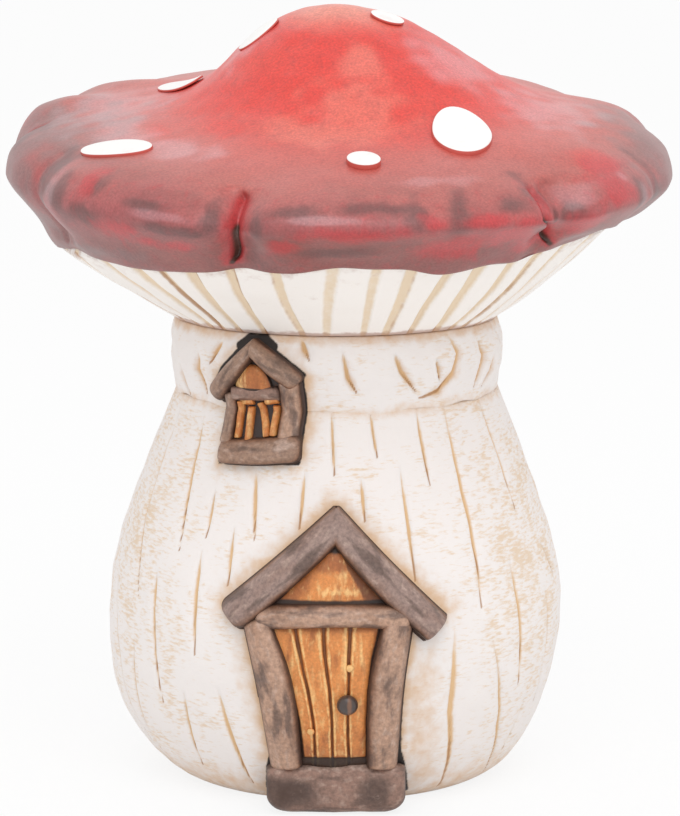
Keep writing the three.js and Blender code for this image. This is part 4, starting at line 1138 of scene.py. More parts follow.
class TOADSTOOL_OT_stem(bpy.types.Operator):
    """Builds the hollow stem with its cut lines"""

    bl_idname = "toadstool.stem"
    bl_label = "Stem"

    def execute(self, context):
        sizes, house = context.scene.toadstool_stem, context.scene.toadstool_house
        rows, columns = STEM_MESH
        outline = spaced(stem_outline(sizes), rows)
        normal = outward(outline)
        azimuth = directions(columns)
        radius, height = outline[:, :1], outline[:, 1:]
        base = around(radius, azimuth, height)
        lines = list(STEM_LINES) + unseen_lines(7, 6.0, 119.0, 9.0)
        depth, near, core = cut_lines(azimuth, height, radius, lines)
        bulge = 2.4 * MM * towards(azimuth, -80, 32) * bell(height - 26 * MM, 18 * MM)
        lift = bulge + 0.4 * MM * waves(base, 34 * MM, 1) + 0.12 * MM * waves(base, 9 * MM, 2)
        lift = lift - sizes.line_depth * depth - 0.35 * MM * near
        lift = lift * smooth(height, 0.0, 5 * MM)
        skin = around(radius + normal[:, :1] * lift, azimuth, height + normal[:, 1:] * lift)
        frames = ((0.0, DOOR_OUTLINE, DOOR_SHADES), (house.window_azimuth, WINDOW_OUTLINE, WINDOW_SHADES))
        halo, shade = frame_paint(radius, azimuth, height, frames)
        foot = 0.7 * (1.0 - smooth(height, 1 * MM, 22 * MM))
        seam = 0.6 * smooth(height, sizes.shoulder_height - 5 * MM, sizes.shoulder_height)
        by_step = bell(radius * np.sin(azimuth) - 25 * MM, 9 * MM) * smooth(np.cos(azimuth), 0.0, 0.4)
        by_step = 0.62 * by_step * (1.0 - smooth(height, 40 * MM, 70 * MM))
        right = towards(azimuth, 58, 26) * bell(height - 74 * MM, 34 * MM)
        left = towards(azimuth, -66, 16) * bell(height - 84 * MM, 34 * MM)
        # Painted shade: more cream clay shows through towards the sides, so the stem is darker there
        aside = smooth(np.abs(turn_from(azimuth, 0.0)), math.radians(25), math.radians(60))
        marks = {
            "line": depth,
            "core": core,
            "wash": np.maximum(np.maximum(halo, by_step), np.maximum(foot, seam)),
            "bare": 0.42 + 0.12 * aside + 0.2 * np.maximum(right, 0.8 * left),
            "shade": shade,
        }
        hole, wall, neck = sizes.pour_radius, sizes.wall, sizes.neck_radius
        low, high = sizes.shoulder_height, sizes.collar_top
        floor = [(hole, wall), (hole, 1 * MM), (hole + 1 * MM, 0.0), (sizes.foot_radius - 2 * MM, 0.0)]
        inside = [(neck, low), (neck, high), (neck - wall, high), (neck - wall, low)]
        inside += [(outline[row, 0] - wall, outline[row, 1]) for row in range(165, 10, -12)]
        rings = np.concatenate((*plain_rings(floor, azimuth), skin, *plain_rings(inside, azimuth)))
        body = shell(rings, padded(marks, len(floor), len(inside)), joined=True)
        add_piece("stem", [body], "Whitewashed clay", "stem", "stem_shell")
        return {"FINISHED"}


class TOADSTOOL_OT_collar(bpy.types.Operator):
    """Builds the ruffled collar round the neck"""

    bl_idname = "toadstool.collar"
    bl_label = "Collar"

    def execute(self, context):
        sizes, house = context.scene.toadstool_stem, context.scene.toadstool_house
        rows, columns = COLLAR_MESH
        outline = spaced(collar_outline(sizes), rows)
        azimuth = directions(columns)
        radius, height = outline[:, :1], outline[:, 1:]
        base = around(radius, azimuth, height)
        low, high = sizes.shoulder_height, sizes.collar_top
        folds = list(COLLAR_FOLDS) + unseen_lines(11, low / MM + 2.0, high / MM - 1.0, 11.0)
        depth, near, core = cut_lines(azimuth, height, radius, folds)
        bottom = height.min()
        share = (height - bottom) / (height.max() - bottom)
        level = np.sin(math.pi * share)
        lift = (0.9 * MM * waves(base, 24 * MM, 3) + 0.3 * MM * waves(base, 8 * MM, 4)) * level
        lift = lift - (1.5 * MM * depth + 0.8 * MM * near) * smooth(level, 0.0, 0.3)
        scallop = (1.0 + waves(base, 16 * MM, 9)) * (1.0 - smooth(height, bottom, bottom + 6 * MM))
        skin = around(radius + lift, azimuth, height - 0.7 * MM * scallop)
        frames = ((house.window_azimuth, WINDOW_OUTLINE, WINDOW_SHADES),)
        halo, shade = frame_paint(radius, azimuth, height, frames)
        seam = np.maximum(0.75 * smooth(share, 0.76, 1.0), 0.55 * (1.0 - smooth(share, 0.0, 0.25)))
        marks = {
            "line": depth,
            "core": core,
            "wash": np.maximum(np.maximum(halo, seam), 0.6 * near),
            "bare": np.full_like(depth, 0.4),
            "shade": shade,
        }
        bore = sizes.neck_radius + 0.3 * MM
        inside = [(bore, high), (bore, low)]
        rings = np.concatenate((skin, *plain_rings(inside, azimuth)))
        body = shell(rings, padded(marks, 0, len(inside)), joined=True)
        add_piece("collar", [body], "Whitewashed clay", "stem", "collar_ring")
        return {"FINISHED"}


class TOADSTOOL_OT_dish(bpy.types.Operator):
    """Builds the gilled dish under the cap"""

    bl_idname = "toadstool.dish"
    bl_label = "Gilled dish"

    def execute(self, context):
        sizes = context.scene.toadstool_stem
        foot, edge = sizes.dish_foot, sizes.dish_radius
        base = sizes.collar_top + 0.3 * MM
        share = np.linspace(0.0, 1.0, DISH_ROWS)[:, None]
        radius = foot + (edge - foot) * share
        height = base + (sizes.dish_edge - base) * share - 4 * sizes.dish_sag * share * (1.0 - share)
        azimuth = directions(sizes.gill_count * COLUMNS_PER_GILL)
        groove, core = self.grooves(radius, azimuth, share, sizes)
        uneven = 0.18 * MM * (1.0 - waves(around(radius, azimuth, height), 12 * MM, 6))
        sink = sizes.gill_depth * groove * smooth(share, 0.0, 0.12) + uneven
        skin = around(radius - 0.6 * sink, azimuth, height + 0.8 * sink * smooth(share, 0.0, 0.05))
        seam = 0.9 * (1.0 - smooth(share, 0.0, 0.1)) + 0.35 * smooth(share, 0.8, 1.0)
        marks = {"line": groove, "core": core, "wash": seam + 0.0 * azimuth}
        wall = 6 * MM
        top, floor, spigot = sizes.dish_edge + 3 * MM, base + wall, base - 10 * MM
        bore = sizes.neck_radius - sizes.wall - 0.3 * MM
        inside = [(edge - 0.5 * MM, top), (edge - wall, top), (foot - wall / 2, floor), (bore - wall, floor)]
        inside += [(bore - wall, spigot), (bore, spigot), (bore, base)]
        rings = np.concatenate((skin, *plain_rings(inside, azimuth)))
        rise = smooth(rings[..., 2], base, sizes.dish_edge - 2.3 * MM)
        rings[..., 2] += LIP_SIDE_TILT * rings[..., 0] * rise
        body = shell(rings, padded(marks, 0, len(inside), carried=("wash",)), joined=True)
        add_piece("gilled_dish", [body], "Gilled clay", "gill", "gill_dish")
        return {"FINISHED"}

    def grooves(self, radius, azimuth, share, sizes):
        """How deep points lie in the grooves between the gills and how brown they are there, each 0 to 1."""
        draw = np.random.default_rng(5)
        step = 360.0 / sizes.gill_count
        hidden = np.arange(FRONT_GROOVES[-1][1] + step, FRONT_GROOVES[0][1] + 360.0 - step / 2, step)
        hidden = hidden + draw.uniform(-0.15, 0.15, len(hidden)) * step
        groove, core = np.zeros((2, *np.broadcast(radius, azimuth).shape))
        for at_foot, at_edge in (*FRONT_GROOVES, *zip(hidden, hidden)):
            half = MM * draw.uniform(0.8, 1.25) * (1.3 + 0.9 * share)
            bend = draw.uniform(-1.5, 1.5) * np.sin(math.pi * share)
            direction = np.radians(at_foot + (at_edge - at_foot) * share + bend)
            aside = turn_from(azimuth, direction) * radius
            deep = smooth(abs(at_edge), 0.0, 26.0)
            trough = 1.0 - smooth(np.abs(aside), 0.4 * half, 1.15 * half)
            groove = np.maximum(groove, (0.7 + 0.3 * deep) * trough)
            brown = 0.85 if at_edge < 0.0 else 0.6
            side = draw.choice((-0.7, 0.7)) * half
            core = np.maximum(core, brown * deep * bell(aside + side, 0.5 * MM))
        return groove, core


# Cap and spots


def cap_outline(sizes):
    """Outside of the plain turned cap from the crown to the lip, as distances from the axis and heights."""
    crown, rim = (0.0, sizes.top), (sizes.radius, sizes.rim_height)
    foot, lip = (sizes.brim_radius, sizes.top - sizes.brim_drop), (sizes.lip_radius, sizes.lip_height)
    above_foot = (foot[0] - BRIM_FLARE_IN, foot[1] + BRIM_FLARE_IN * BRIM_SLOPE)
    below_foot = (foot[0] + BRIM_FLARE_OUT, foot[1] - BRIM_FLARE_OUT * BRIM_SLOPE)
    above_lip = (lip[0] + LIP_FLARE, lip[1] + LIP_FLARE)
    dome = bezier(crown, (CROWN_FULLNESS, sizes.top), above_foot, foot)
    slope = bezier(foot, below_foot, (sizes.radius, sizes.rim_height + RIM_FULLNESS_ABOVE), rim)
    face = bezier(rim, (sizes.radius, sizes.rim_height - RIM_FULLNESS_BELOW), above_lip, lip)
    return np.vstack((dome, slope[1:], face[1:]))


def cap_pinch(azimuth, spread=1.0):
    """Depth of the pinches at a direction."""
    total = 0.0
    for direction, depth, wide, *_ in PINCHES:
        total = total + depth * MM * towards(azimuth, direction, wide * spread)
    return total


def cap_slit(azimuth, height, spread, sizes):
    """Nearness to the slits in the rim, which lean as they run down to the lip, 0 to 1."""
    down = np.clip((sizes.rim_height - height) / (sizes.rim_height - sizes.lip_height), 0.0, 1.0)
    total = 0.0
    for *_, sharp, ridge, lip in PINCHES:
        middle = math.radians(ridge) + math.radians(lip - ridge) * down
        total = total + sharp * bell(turn_from(azimuth, middle), math.radians(spread))
    return total * (1.0 - smooth(height, *SLIT_HEAD))


def cap_shape(radius, azimuth, height, sizes, folded=1.0):
    """Moves points of the plain turned cap to their places on the pinched, leaning and tilted one. Folded is
    how deep the pinches are pressed in."""
    full = sizes.radius - sizes.wall
    upper = smooth(height, sizes.lip_height + 2 * MM, sizes.rim_height + RIM_FULLNESS_ABOVE)
    rim = smooth(radius, sizes.lip_radius, full)
    brim = smooth(radius, sizes.brim_radius, full)
    dome = np.sin(math.pi * np.minimum(radius / full, 1.0)) * upper
    above = height - sizes.lip_height
    slit = sizes.slit_depth * cap_slit(azimuth, height, 1.0, sizes) * smooth(above, 1.5 * MM, 6 * MM)
    fold = cap_pinch(azimuth) * (0.2 + 0.8 * smooth(above, 0.0, 10 * MM)) + slit
    fold = folded * np.where(height < sizes.rim_height, fold, rim * fold)
    direction, depth, wide = SIDE_TUCK
    face = np.clip(above / (sizes.rim_height - sizes.lip_height), 0.0, 1.0)
    tuck = depth * MM * towards(azimuth, direction, wide) * np.sin(math.pi * face) ** 1.5
    leaning = radius * (1.0 + DOME_LEAN * np.sin(azimuth) * dome)
    points = around(leaning - fold - tuck, azimuth, height)
    side, back = radius * np.sin(azimuth), -radius * np.cos(azimuth)
    tilt = (FORWARD_TILT * back - BRIM_SIDE_TILT * side * brim) * upper
    lift = LIP_SIDE_TILT * side * np.clip((sizes.rim_height - height) / LIP_TILT_REACH, 0.0, 1.0)
    dip = 0.35 * cap_pinch(azimuth, 2.0) * smooth(radius, 66 * MM, 96 * MM) * upper
    lobe = 0.0
    for direction, rise, wide, start in BRIM_LOBES:
        outer = smooth(radius, start * MM, (start + LOBE_RUN) * MM)
        lobe = lobe + rise * MM * towards(azimuth, direction, wide) * outer
    points[..., 0] += RIM_SHIFT * rim
    points[..., 2] += tilt + lift - dip + lobe * upper
    return points


def cap_top(radius, azimuth, sizes):
    """Points on the upper side of the cap."""
    outline = cap_outline(sizes)
    top = outline[: np.argmax(outline[:, 0]) + 1]
    return cap_shape(radius, azimuth, np.interp(radius, top[:, 0], top[:, 1]), sizes)


def rim_columns(count):
    """Directions round the cap, closer together at the sharp slits."""
    fine = np.linspace(-math.pi, math.pi, 4001)
    crowd = np.ones(len(fine))
    for *_, sharp, ridge, lip in PINCHES:
        crowd += 6.0 * sharp * towards(fine, (ridge + lip) / 2, 3.5)
    crowd = np.cumsum(crowd)
    return np.interp(np.linspace(crowd[0], crowd[-1], count, endpoint=False), crowd, fine)


def patches(azimuth, fall, places, uneven):
    """How much of a brush patch lies on each point, 0 to 1, with outlines that uneven waves push about."""
    total = np.zeros(np.broadcast(azimuth, fall).shape)
    for direction, percent, wide, tall in places:
        aside = turn_from(azimuth, math.radians(direction)) / math.radians(wide)
        gap = np.hypot(aside, (100 * fall - percent) / tall)
        total = np.maximum(total, 1.0 - smooth(gap + 0.3 * uneven, 0.1, 1.6))
    return total


class TOADSTOOL_OT_cap(bpy.types.Operator):
    """Builds the pinched cap"""

    bl_idname = "toadstool.cap"
    bl_label = "Cap"

    def execute(self, context):
        sizes = context.scene.toadstool_cap
        rows, columns = CAP_MESH
        outline = spaced(cap_outline(sizes), rows)[1:]
        azimuth = rim_columns(columns)[None, :]
        radius, height = outline[:, :1], outline[:, 1:]
        skin = cap_shape(radius, azimuth, height, sizes)
        inward = skin - np.array((0.0, 0.0, sizes.rim_height))
        inward /= -np.linalg.norm(inward, axis=-1)[..., None]
        dents = 0.5 * MM * (1.0 - waves(skin, 36 * MM, 21)) + 0.12 * MM * (1.0 - waves(skin, 9 * MM, 22))
        skin = skin + inward * dents[..., None] * smooth(radius, 0.0, 12 * MM)[..., None]
        wavy = self.wavy_lip(azimuth)
        skin[..., 2] += smooth(sizes.lip_height + 7 * MM - height, 0.0, 7 * MM) * wavy
        inside = self.inside(azimuth, wavy, sizes)
        rings = np.concatenate((skin, *inside))
        fall = np.linspace(0.0, 1.0, len(skin))[:, None] + 0.0 * azimuth
        # The slit mark is painted shade in the slits, fading out near the rim's ridge and just above the lip
        low = 1.0 - smooth(height, *SLIT_PAINT_HEAD)
        clear = smooth(height, sizes.lip_height + 0.5 * MM, sizes.lip_height + 3 * MM)
        uneven = waves(skin, 9 * MM, 24)
        marks = {
            "fall": fall,
            "slit": cap_slit(azimuth, height, 0.7, sizes) * low * clear,
            "valley": cap_slit(azimuth, height, 2.1, sizes) * clear,
        }
        marks |= {name: patches(azimuth, fall, places, uneven) for name, places in CAP_PATCHES.items()}
        body = shell(rings, padded(marks, 0, len(inside), carried=("fall",)))
        add_piece("cap", [body], "Varnished red", "cap", "cap_shell")
        return {"FINISHED"}

    def wavy_lip(self, azimuth):
        """How far the lip rises at each direction."""
        wavy = 0.5 * MM * (2.0 + waves(around(1.0, azimuth, 0.0), 0.34, 23))
        for direction, drop, wide in LIP_SAGS:
            wavy = wavy - drop * MM * towards(azimuth, direction, wide)
        return wavy + 0.12 * cap_pinch(azimuth, 0.8)

    def inside(self, azimuth, wavy, sizes):
        """Rings of the hollow from the lip to the crown."""
        bore = sizes.lip_radius - 1.8 * MM
        profile = [(bore, sizes.lip_height), (bore, 170.5 * MM)]
        profile += [(radius * MM, height * MM) for radius, height in CAP_HOLLOW]
        rings = []
        for radius, height in profile:
            edge = height < sizes.lip_height + 3 * MM
            level = 0.0 * azimuth
            ring = cap_shape(radius + level, azimuth, height + level, sizes, 0.15 if edge else 0.45)
            ring[..., 2] += wavy if edge else 0.0
            rings.append(ring)
        return rings


class TOADSTOOL_OT_spots(bpy.types.Operator):
    """Builds the raised white spots on the cap"""

    bl_idname = "toadstool.spots"
    bl_label = "Spots"

    def execute(self, context):
        sizes = context.scene.toadstool_cap
        turn = directions(SPOT_COLUMNS)
        top = [(share, 1.0 - 0.06 * share**2) for share in np.linspace(0.03, 0.92, 9)]
        steps = np.array((*top, *SPOT_EDGE))
        reach, level = steps[:, :1], steps[:, 1:]
        for index, (name, (direction, distance, width, long, spin, relief)) in enumerate(SPOTS.items()):
            draw = np.random.default_rng(40 + index)
            egg = 1.0 + 0.05 * np.sin(turn + draw.uniform(0, 6))
            egg = egg + 0.03 * np.sin(2 * turn + draw.uniform(0, 6))
            wide = reach * egg * np.cos(turn) * width * MM / 2
            tall = reach * egg * np.sin(turn) * long * MM / 2
            cosine, sine = math.cos(math.radians(spin)), math.sin(math.radians(spin))
            across, up = wide * cosine - tall * sine, wide * sine + tall * cosine
            centre = math.radians(direction)
            probe = cap_top(np.array((distance - 1, distance + 1)) * MM, np.full(2, centre), sizes)
            out = distance * MM - up * 2 * MM / np.linalg.norm(probe[1] - probe[0])
            radius = np.hypot(across, out)
            azimuth = centre + np.arctan2(across, out)
            left, right = (cap_top(radius, azimuth + turned, sizes) for turned in (-0.01, 0.01))
            above, below = (cap_top(radius + step, azimuth, sizes) for step in (-0.5 * MM, 0.5 * MM))
            normal = np.cross(right - left, below - above)
            normal *= np.sign(normal[..., 2:])
            normal /= np.linalg.norm(normal, axis=-1)[..., None]
            rings = cap_top(radius, azimuth, sizes) + normal * (level * relief * sizes.spot_relief)[..., None]
            rings[..., 2] = np.minimum(rings[..., 2], sizes.top)
            marks = {"top": smooth(level, 0.6, 0.9) + 0.0 * turn}
            add_piece(f"spot_{name}_disc", [shell(rings, marks)], "Spot white", "spot", f"spot_{name}")
        return {"FINISHED"}


# Door and window


def on_wall(side, height, relief, azimuth, sizes):
    """Points in front of the wall, from sideways distances, heights and reliefs, turned round the axis."""
    radius = wall_radius(height, sizes) + relief
    depth = np.sqrt(np.maximum(radius**2 - side**2, 0.0))
    x = side * math.cos(azimuth) + depth * math.sin(azimuth)
    y = side * math.sin(azimuth) - depth * math.cos(azimuth)
    return np.stack((x, y, height), axis=-1)


def rounded(share):
    """Height of a round end, from 0 at the end to 1 where the end is over."""
    return np.sqrt(1.0 - (1.0 - np.clip(share, 0.0, 1.0)) ** 2)


def log(stations, azimuth, sizes, seed, blunt=(2.5, 2.5), mitred=False, skirt=(0.4, 0.4), wear_and_highlight=0.0):
    """A rounded log laid on the wall through stations of side, height, width and relief in millimetres. Blunt
    gives how round its two ends are, a mitred log ends in an upright cut, a thin skirt of so many millimetres
    lies on the wall to its left and right as painted shade, and the last argument is how much pale paint lies
    near its last end, partly rubbed wear and partly painted highlight."""
    rows, columns = LOG_MESH
    places = (1.0 - np.cos(np.linspace(0.0, math.pi, rows))) / 2
    run = flowing(np.array(stations) * MM, places)
    middle, half, relief = run[:, :2], run[:, 2] / 2, run[:, 3]
    along = np.gradient(middle, axis=0)
    along /= np.linalg.norm(along, axis=1)[:, None]
    across = np.stack((-along[:, 1], along[:, 0]), axis=1)
    travel = np.concatenate(([0.0], np.cumsum(np.linalg.norm(np.diff(middle, axis=0), axis=1))))
    ends = np.ones(len(run))
    for distance, radius in zip((travel, travel[-1] - travel), blunt):
        if radius:
            ends = np.minimum(ends, rounded(distance / (radius * MM)))
    if mitred:
        upright = np.stack((0.0 * half, np.sign(across[:, 1]) / np.abs(across[:, 1])), axis=1)
        share = smooth(travel[-1] - travel, 0.0, 2.4 * half.max())[:, None]
        across = upright * (1.0 - share) + across * share
    swing = np.linspace(0.0, math.pi, columns)
    cosine = np.sign(np.cos(swing)) * np.abs(np.cos(swing)) ** 0.8
    reach = np.concatenate(([1.0, 1.0], cosine, [-1.0, -1.0]))[None, :]
    brim = np.concatenate(([skirt[0]] * 2, 0.0 * swing, [-skirt[1]] * 2))[None, :] * MM
    crest = np.concatenate(([0.0, 0.0], np.sin(swing) ** 0.75, [0.0, 0.0]))[None, :]
    base = np.concatenate(([-2.2, 0.25], 0.25 + 0.0 * swing, [0.25, -2.2]))[None, :] * MM
    wide = reach * (half * (0.55 + 0.45 * ends))[:, None] + brim
    high = base + crest * (relief * (0.45 + 0.55 * ends))[:, None]
    side = middle[:, :1] + across[:, :1] * wide
    height = middle[:, 1:] + across[:, 1:] * wide
    if mitred:
        height = np.minimum(height, middle[-1, 1] + 1.18 * half[-1])
    rough = on_wall(side, height, high, azimuth, sizes)
    knobs = 0.4 * waves(rough, 13 * MM, seed) + 0.2 * waves(rough, 5 * MM, seed + 1)
    high = high + MM * knobs * crest
    # Pale paint near the last end, partly wear and partly painted highlight
    rubbed_and_highlit = wear_and_highlight * bell(travel / travel[-1] - 0.84, 0.1)[:, None]
    # The side with the wider skirt is darker, as painted shade
    marks = {
        "raise": crest * (0.6 + 0.4 * ends)[:, None] - 0.3 * (skirt[0] - skirt[1]) * reach,
        "run": travel[:, None] + 0.1 * seed + 0.0 * wide,
        "girth": reach * half[:, None],
        "wear_and_highlight": rubbed_and_highlit * crest * smooth(reach, -0.2, 0.3),
    }
    return shell(on_wall(side, height, high, azimuth, sizes), marks)


def add_logs(place, logs, relief, azimuth, sizes, seed):
    """The logs of the door or the window, each as a piece of its own."""
    for index, (name, (finish_name, blunt, stations)) in enumerate(logs.items()):
        mitred = "rafter" in name
        raised = [(*station[:3], relief / MM + station[3]) for station in stations]
        lumps = seed if mitred else seed + 3 * (index + 1)
        wear_and_highlight = SILL_WEAR_AND_HIGHLIGHT if name == "sill" else 0.0
        body = log(raised, azimuth, sizes, lumps, blunt, mitred, SKIRTS[name], wear_and_highlight)
        node = "_".join((place, *reversed(name.split("_"))))
        add_piece(f"{place}_{name}", [body], finish_name, "timber", node)


def panel(heights, left, right, face, azimuth, sizes):
    """A sheet on the wall between a left and a right edge at each height, in millimetres. Face gives the
    relief and the marks from each point's place across and up the sheet, 0 to 1."""
    across = np.linspace(0.0, 1.0, PANEL_COLUMNS)[None, :]
    up = np.linspace(0.0, 1.0, len(heights))[:, None]
    left, right, height = (np.array(edge)[:, None] * MM for edge in (left, right, heights))
    relief, marks = face(across, up)
    front = on_wall(left + (right - left) * across, height + 0.0 * across, relief, azimuth, sizes)
    behind = np.linspace(1.0, 0.0, 8)[None, :]
    back = on_wall(left + (right - left) * behind, height + 0.0 * behind, -2.0 * MM, azimuth, sizes)
    pad = ((0, 0), (0, behind.size))
    values = {name: np.pad(mark, pad, mode="edge") for name, mark in marks.items()}
    return shell(np.concatenate((front, back), axis=1), values)


def boss(side, height, radius, base, rise, azimuth, sizes):
    """A round knob on the wall."""
    rows, columns = KNOB_MESH
    turn = directions(columns)
    steep = math.pi * 0.62
    swing = np.linspace(0.04, 1.0, rows)[:, None] * steep
    out = radius * np.sin(swing)
    lift = base + rise * (np.cos(swing) - math.cos(steep)) / (1.0 - math.cos(steep))
    rings = on_wall(side + out * np.cos(turn), height + out * np.sin(turn), lift + 0.0 * turn, azimuth, sizes)
    crest = np.cos(swing).clip(0.0) + 0.0 * turn
    # A painted glint on one side of the crest
    glint = bell(out * np.cos(turn) - 0.2 * radius, 0.22 * radius) * crest
    return shell(rings, {"raise": crest, "rubbed_and_highlit": glint})


def frame_edge(across, up, margin):
    """Nearness to the border of a panel, 1 at the border."""
    nearest = np.minimum(np.minimum(across, 1.0 - across), np.minimum(up, 1.0 - up))
    return 1.0 - smooth(nearest, 0.0, margin)


def side_edge(across, up, margin):
    """Nearness to the left and right border of a panel, 1 at the border."""
    return frame_edge(across, 0.5 + 0.0 * up, margin)


class TOADSTOOL_OT_door(bpy.types.Operator):
    """Builds the door with its step, logs, leaf, gable panel and knob"""

    bl_idname = "toadstool.door"
    bl_label = "Door"

    def execute(self, context):
        sizes, house = context.scene.toadstool_stem, context.scene.toadstool_house
        add_logs("door", DOOR_LOGS, house.log_relief, 0.0, sizes, 60)
        add_piece("door_step", [self.step()], "Step timber", "timber", "doorstep")
        nails = [self.nail(side, height, sizes) for side, height in NAILS]
        add_piece("door_leaf_planks", [self.leaf(sizes, house), *nails], "Gilded panel", "panel", "door_leaf")
        add_piece("door_gable", [self.gable(sizes, house)], "Gilded panel", "panel", "door_gable_panel")
        knob = boss(3.4 * MM, 36.2 * MM, house.knob_radius, 2 * MM, 4 * MM, 0.0, sizes)
        add_piece("door_round_knob", [knob], "Glinting iron", "knob", "door_knob")
        return {"FINISHED"}

    def step(self):
        """Flattened log on the ground in front of the door."""
        low, high = (np.array(corner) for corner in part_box("doorstep"))
        middle, half = (low + high) / 2, (high - low) / 2
        rows, columns = STEP_MESH
        share = (1.0 - np.cos(np.linspace(0.0, math.pi, rows))) / 2
        inset = np.minimum(share, 1.0 - share)[:, None]
        ends, corner = rounded(inset / 0.09), rounded(inset / 0.17)
        turn = directions(columns)
        cosine, sine = np.cos(turn), np.sin(turn)
        deep = np.sign(cosine) * np.abs(cosine) ** 0.5 * (0.72 + 0.28 * ends)
        tall = np.abs(sine) ** 0.5 * np.where(sine < 0, -0.25 - 0.75 * corner, 0.72 + 0.28 * ends)
        x = low[0] + (high[0] - low[0]) * share[:, None] + 0.0 * turn
        y = middle[1] + half[1] * deep
        z = middle[2] + half[2] * tall + 2.4 * MM * smooth(sine, 0.0, 0.8)
        points = np.stack((x, y, z), axis=-1)
        dents = 0.5 * MM * (1.0 - waves(points, 14 * MM, 81)) + 0.12 * MM * (1.0 - waves(points, 4 * MM, 82))
        points[..., 1] += dents * (1.0 - smooth(cosine, -0.4, 0.4))
        points[..., 2] = np.maximum(points[..., 2] - dents * smooth(sine, 0.0, 0.5), 0.0)
        # Painted light: paler along the front top edge as a painted highlight, darker at the back and the
        # ends as painted shade
        front = 1.0 - smooth(cosine, -0.1, 0.5)
        edge = bell(turn - math.radians(132), 0.4)
        blotches = 0.3 * waves(points, 16 * MM, 83)
        marks = {
            "raise": front * (0.84 + 0.16 * edge + blotches * (1.0 - edge)) * (0.6 + 0.4 * ends),
            "run": x,
            "girth": turn * half[2] + 0.0 * x,
            "wear_and_highlight": 0.6 * bell(turn - math.radians(128), 0.22) * smooth(inset, 0.03, 0.1),
        }
        return shell(points, marks)

    def leaf(self, sizes, house):
        """Four tapering planks between the posts."""
        heights = np.linspace(10.0, 61.0, 84)
        level, left, right = zip(*LEAF_EDGES)

        def face(across, up):
            line, lip = np.zeros((2, *np.broadcast(across, up).shape))
            for foot, head in PLANK_GROOVES:
                place = foot + (head - foot) * up**2 + 0.008 * np.sin(9.0 * up + 20.0 * foot)
                aside = np.abs(across - place)
                line = np.maximum(line, 1.0 - smooth(aside, 0.006, 0.026))
                lip = np.maximum(lip, 0.68 * bell(aside - 0.038, 0.016))
            edge = frame_edge(across, up, 0.09)
            gap = 1.0 - smooth(up, 0.15, 0.175)
            sides = np.maximum(1.0 - smooth(across, 0.04, 0.09), smooth(across, 0.95, 0.985))
            crown = 0.35 * MM * lip - 0.7 * MM * edge
            relief = house.leaf_relief - house.plank_groove * line + crown - 1.2 * MM * gap
            # Browner towards the foot
            brown_foot = 0.5 * (1.0 - smooth(up, 0.18, 0.5))
            marks = {"line": line, "lip": lip, "shade": np.maximum(gap, sides)}
            marks["edge"] = np.maximum(edge, brown_foot)
            return np.maximum(relief, 0.9 * MM), marks

        sides = (np.interp(heights, level, edge) for edge in (left, right))
        return panel(heights, *sides, face, 0.0, sizes)

    def nail(self, side, height, sizes):
        """Small round nail on the leaf, at a place in millimetres, gold on its crest as a painted highlight.
        """
        points, quads, fans, values = boss(side * MM, height * MM, 1.2 * MM, 1.8 * MM, 1.2 * MM, 0.0, sizes)
        crest = values["raise"]
        plain = 0.0 * crest
        return points, quads, fans, {"line": plain, "edge": 0.4 * (1.0 - crest), "lip": crest, "shade": plain}

    def gable(self, sizes, house):
        """Panel between the rafters and the lintel."""
        heights = np.linspace(65.0, 86.0, 60)
        taper = np.linspace(0.0, 1.0, 60) ** 0.9

        def face(across, up):
            swell = house.leaf_relief + 1.4 * MM * np.sin(math.pi * across) * np.sin(math.pi * up) ** 0.5
            corner = np.maximum(1.0 - smooth(up, 0.1, 0.18), smooth(up, 0.74, 0.84))
            marks = {
                "line": smooth(across + 0.14 * up, 0.8, 0.9),
                "edge": np.maximum(side_edge(across, up, 0.4), smooth(up, 0.4, 0.7)),
                "lip": 0.7 * bell(up - 0.26, 0.07) * bell(across - 0.6, 0.3),
                "shade": np.maximum(corner, side_edge(across, up, 0.05)),
            }
            return swell, marks

        return panel(heights, -20.5 + 19.8 * taper, 17.5 - 17.0 * taper, face, 0.0, sizes)


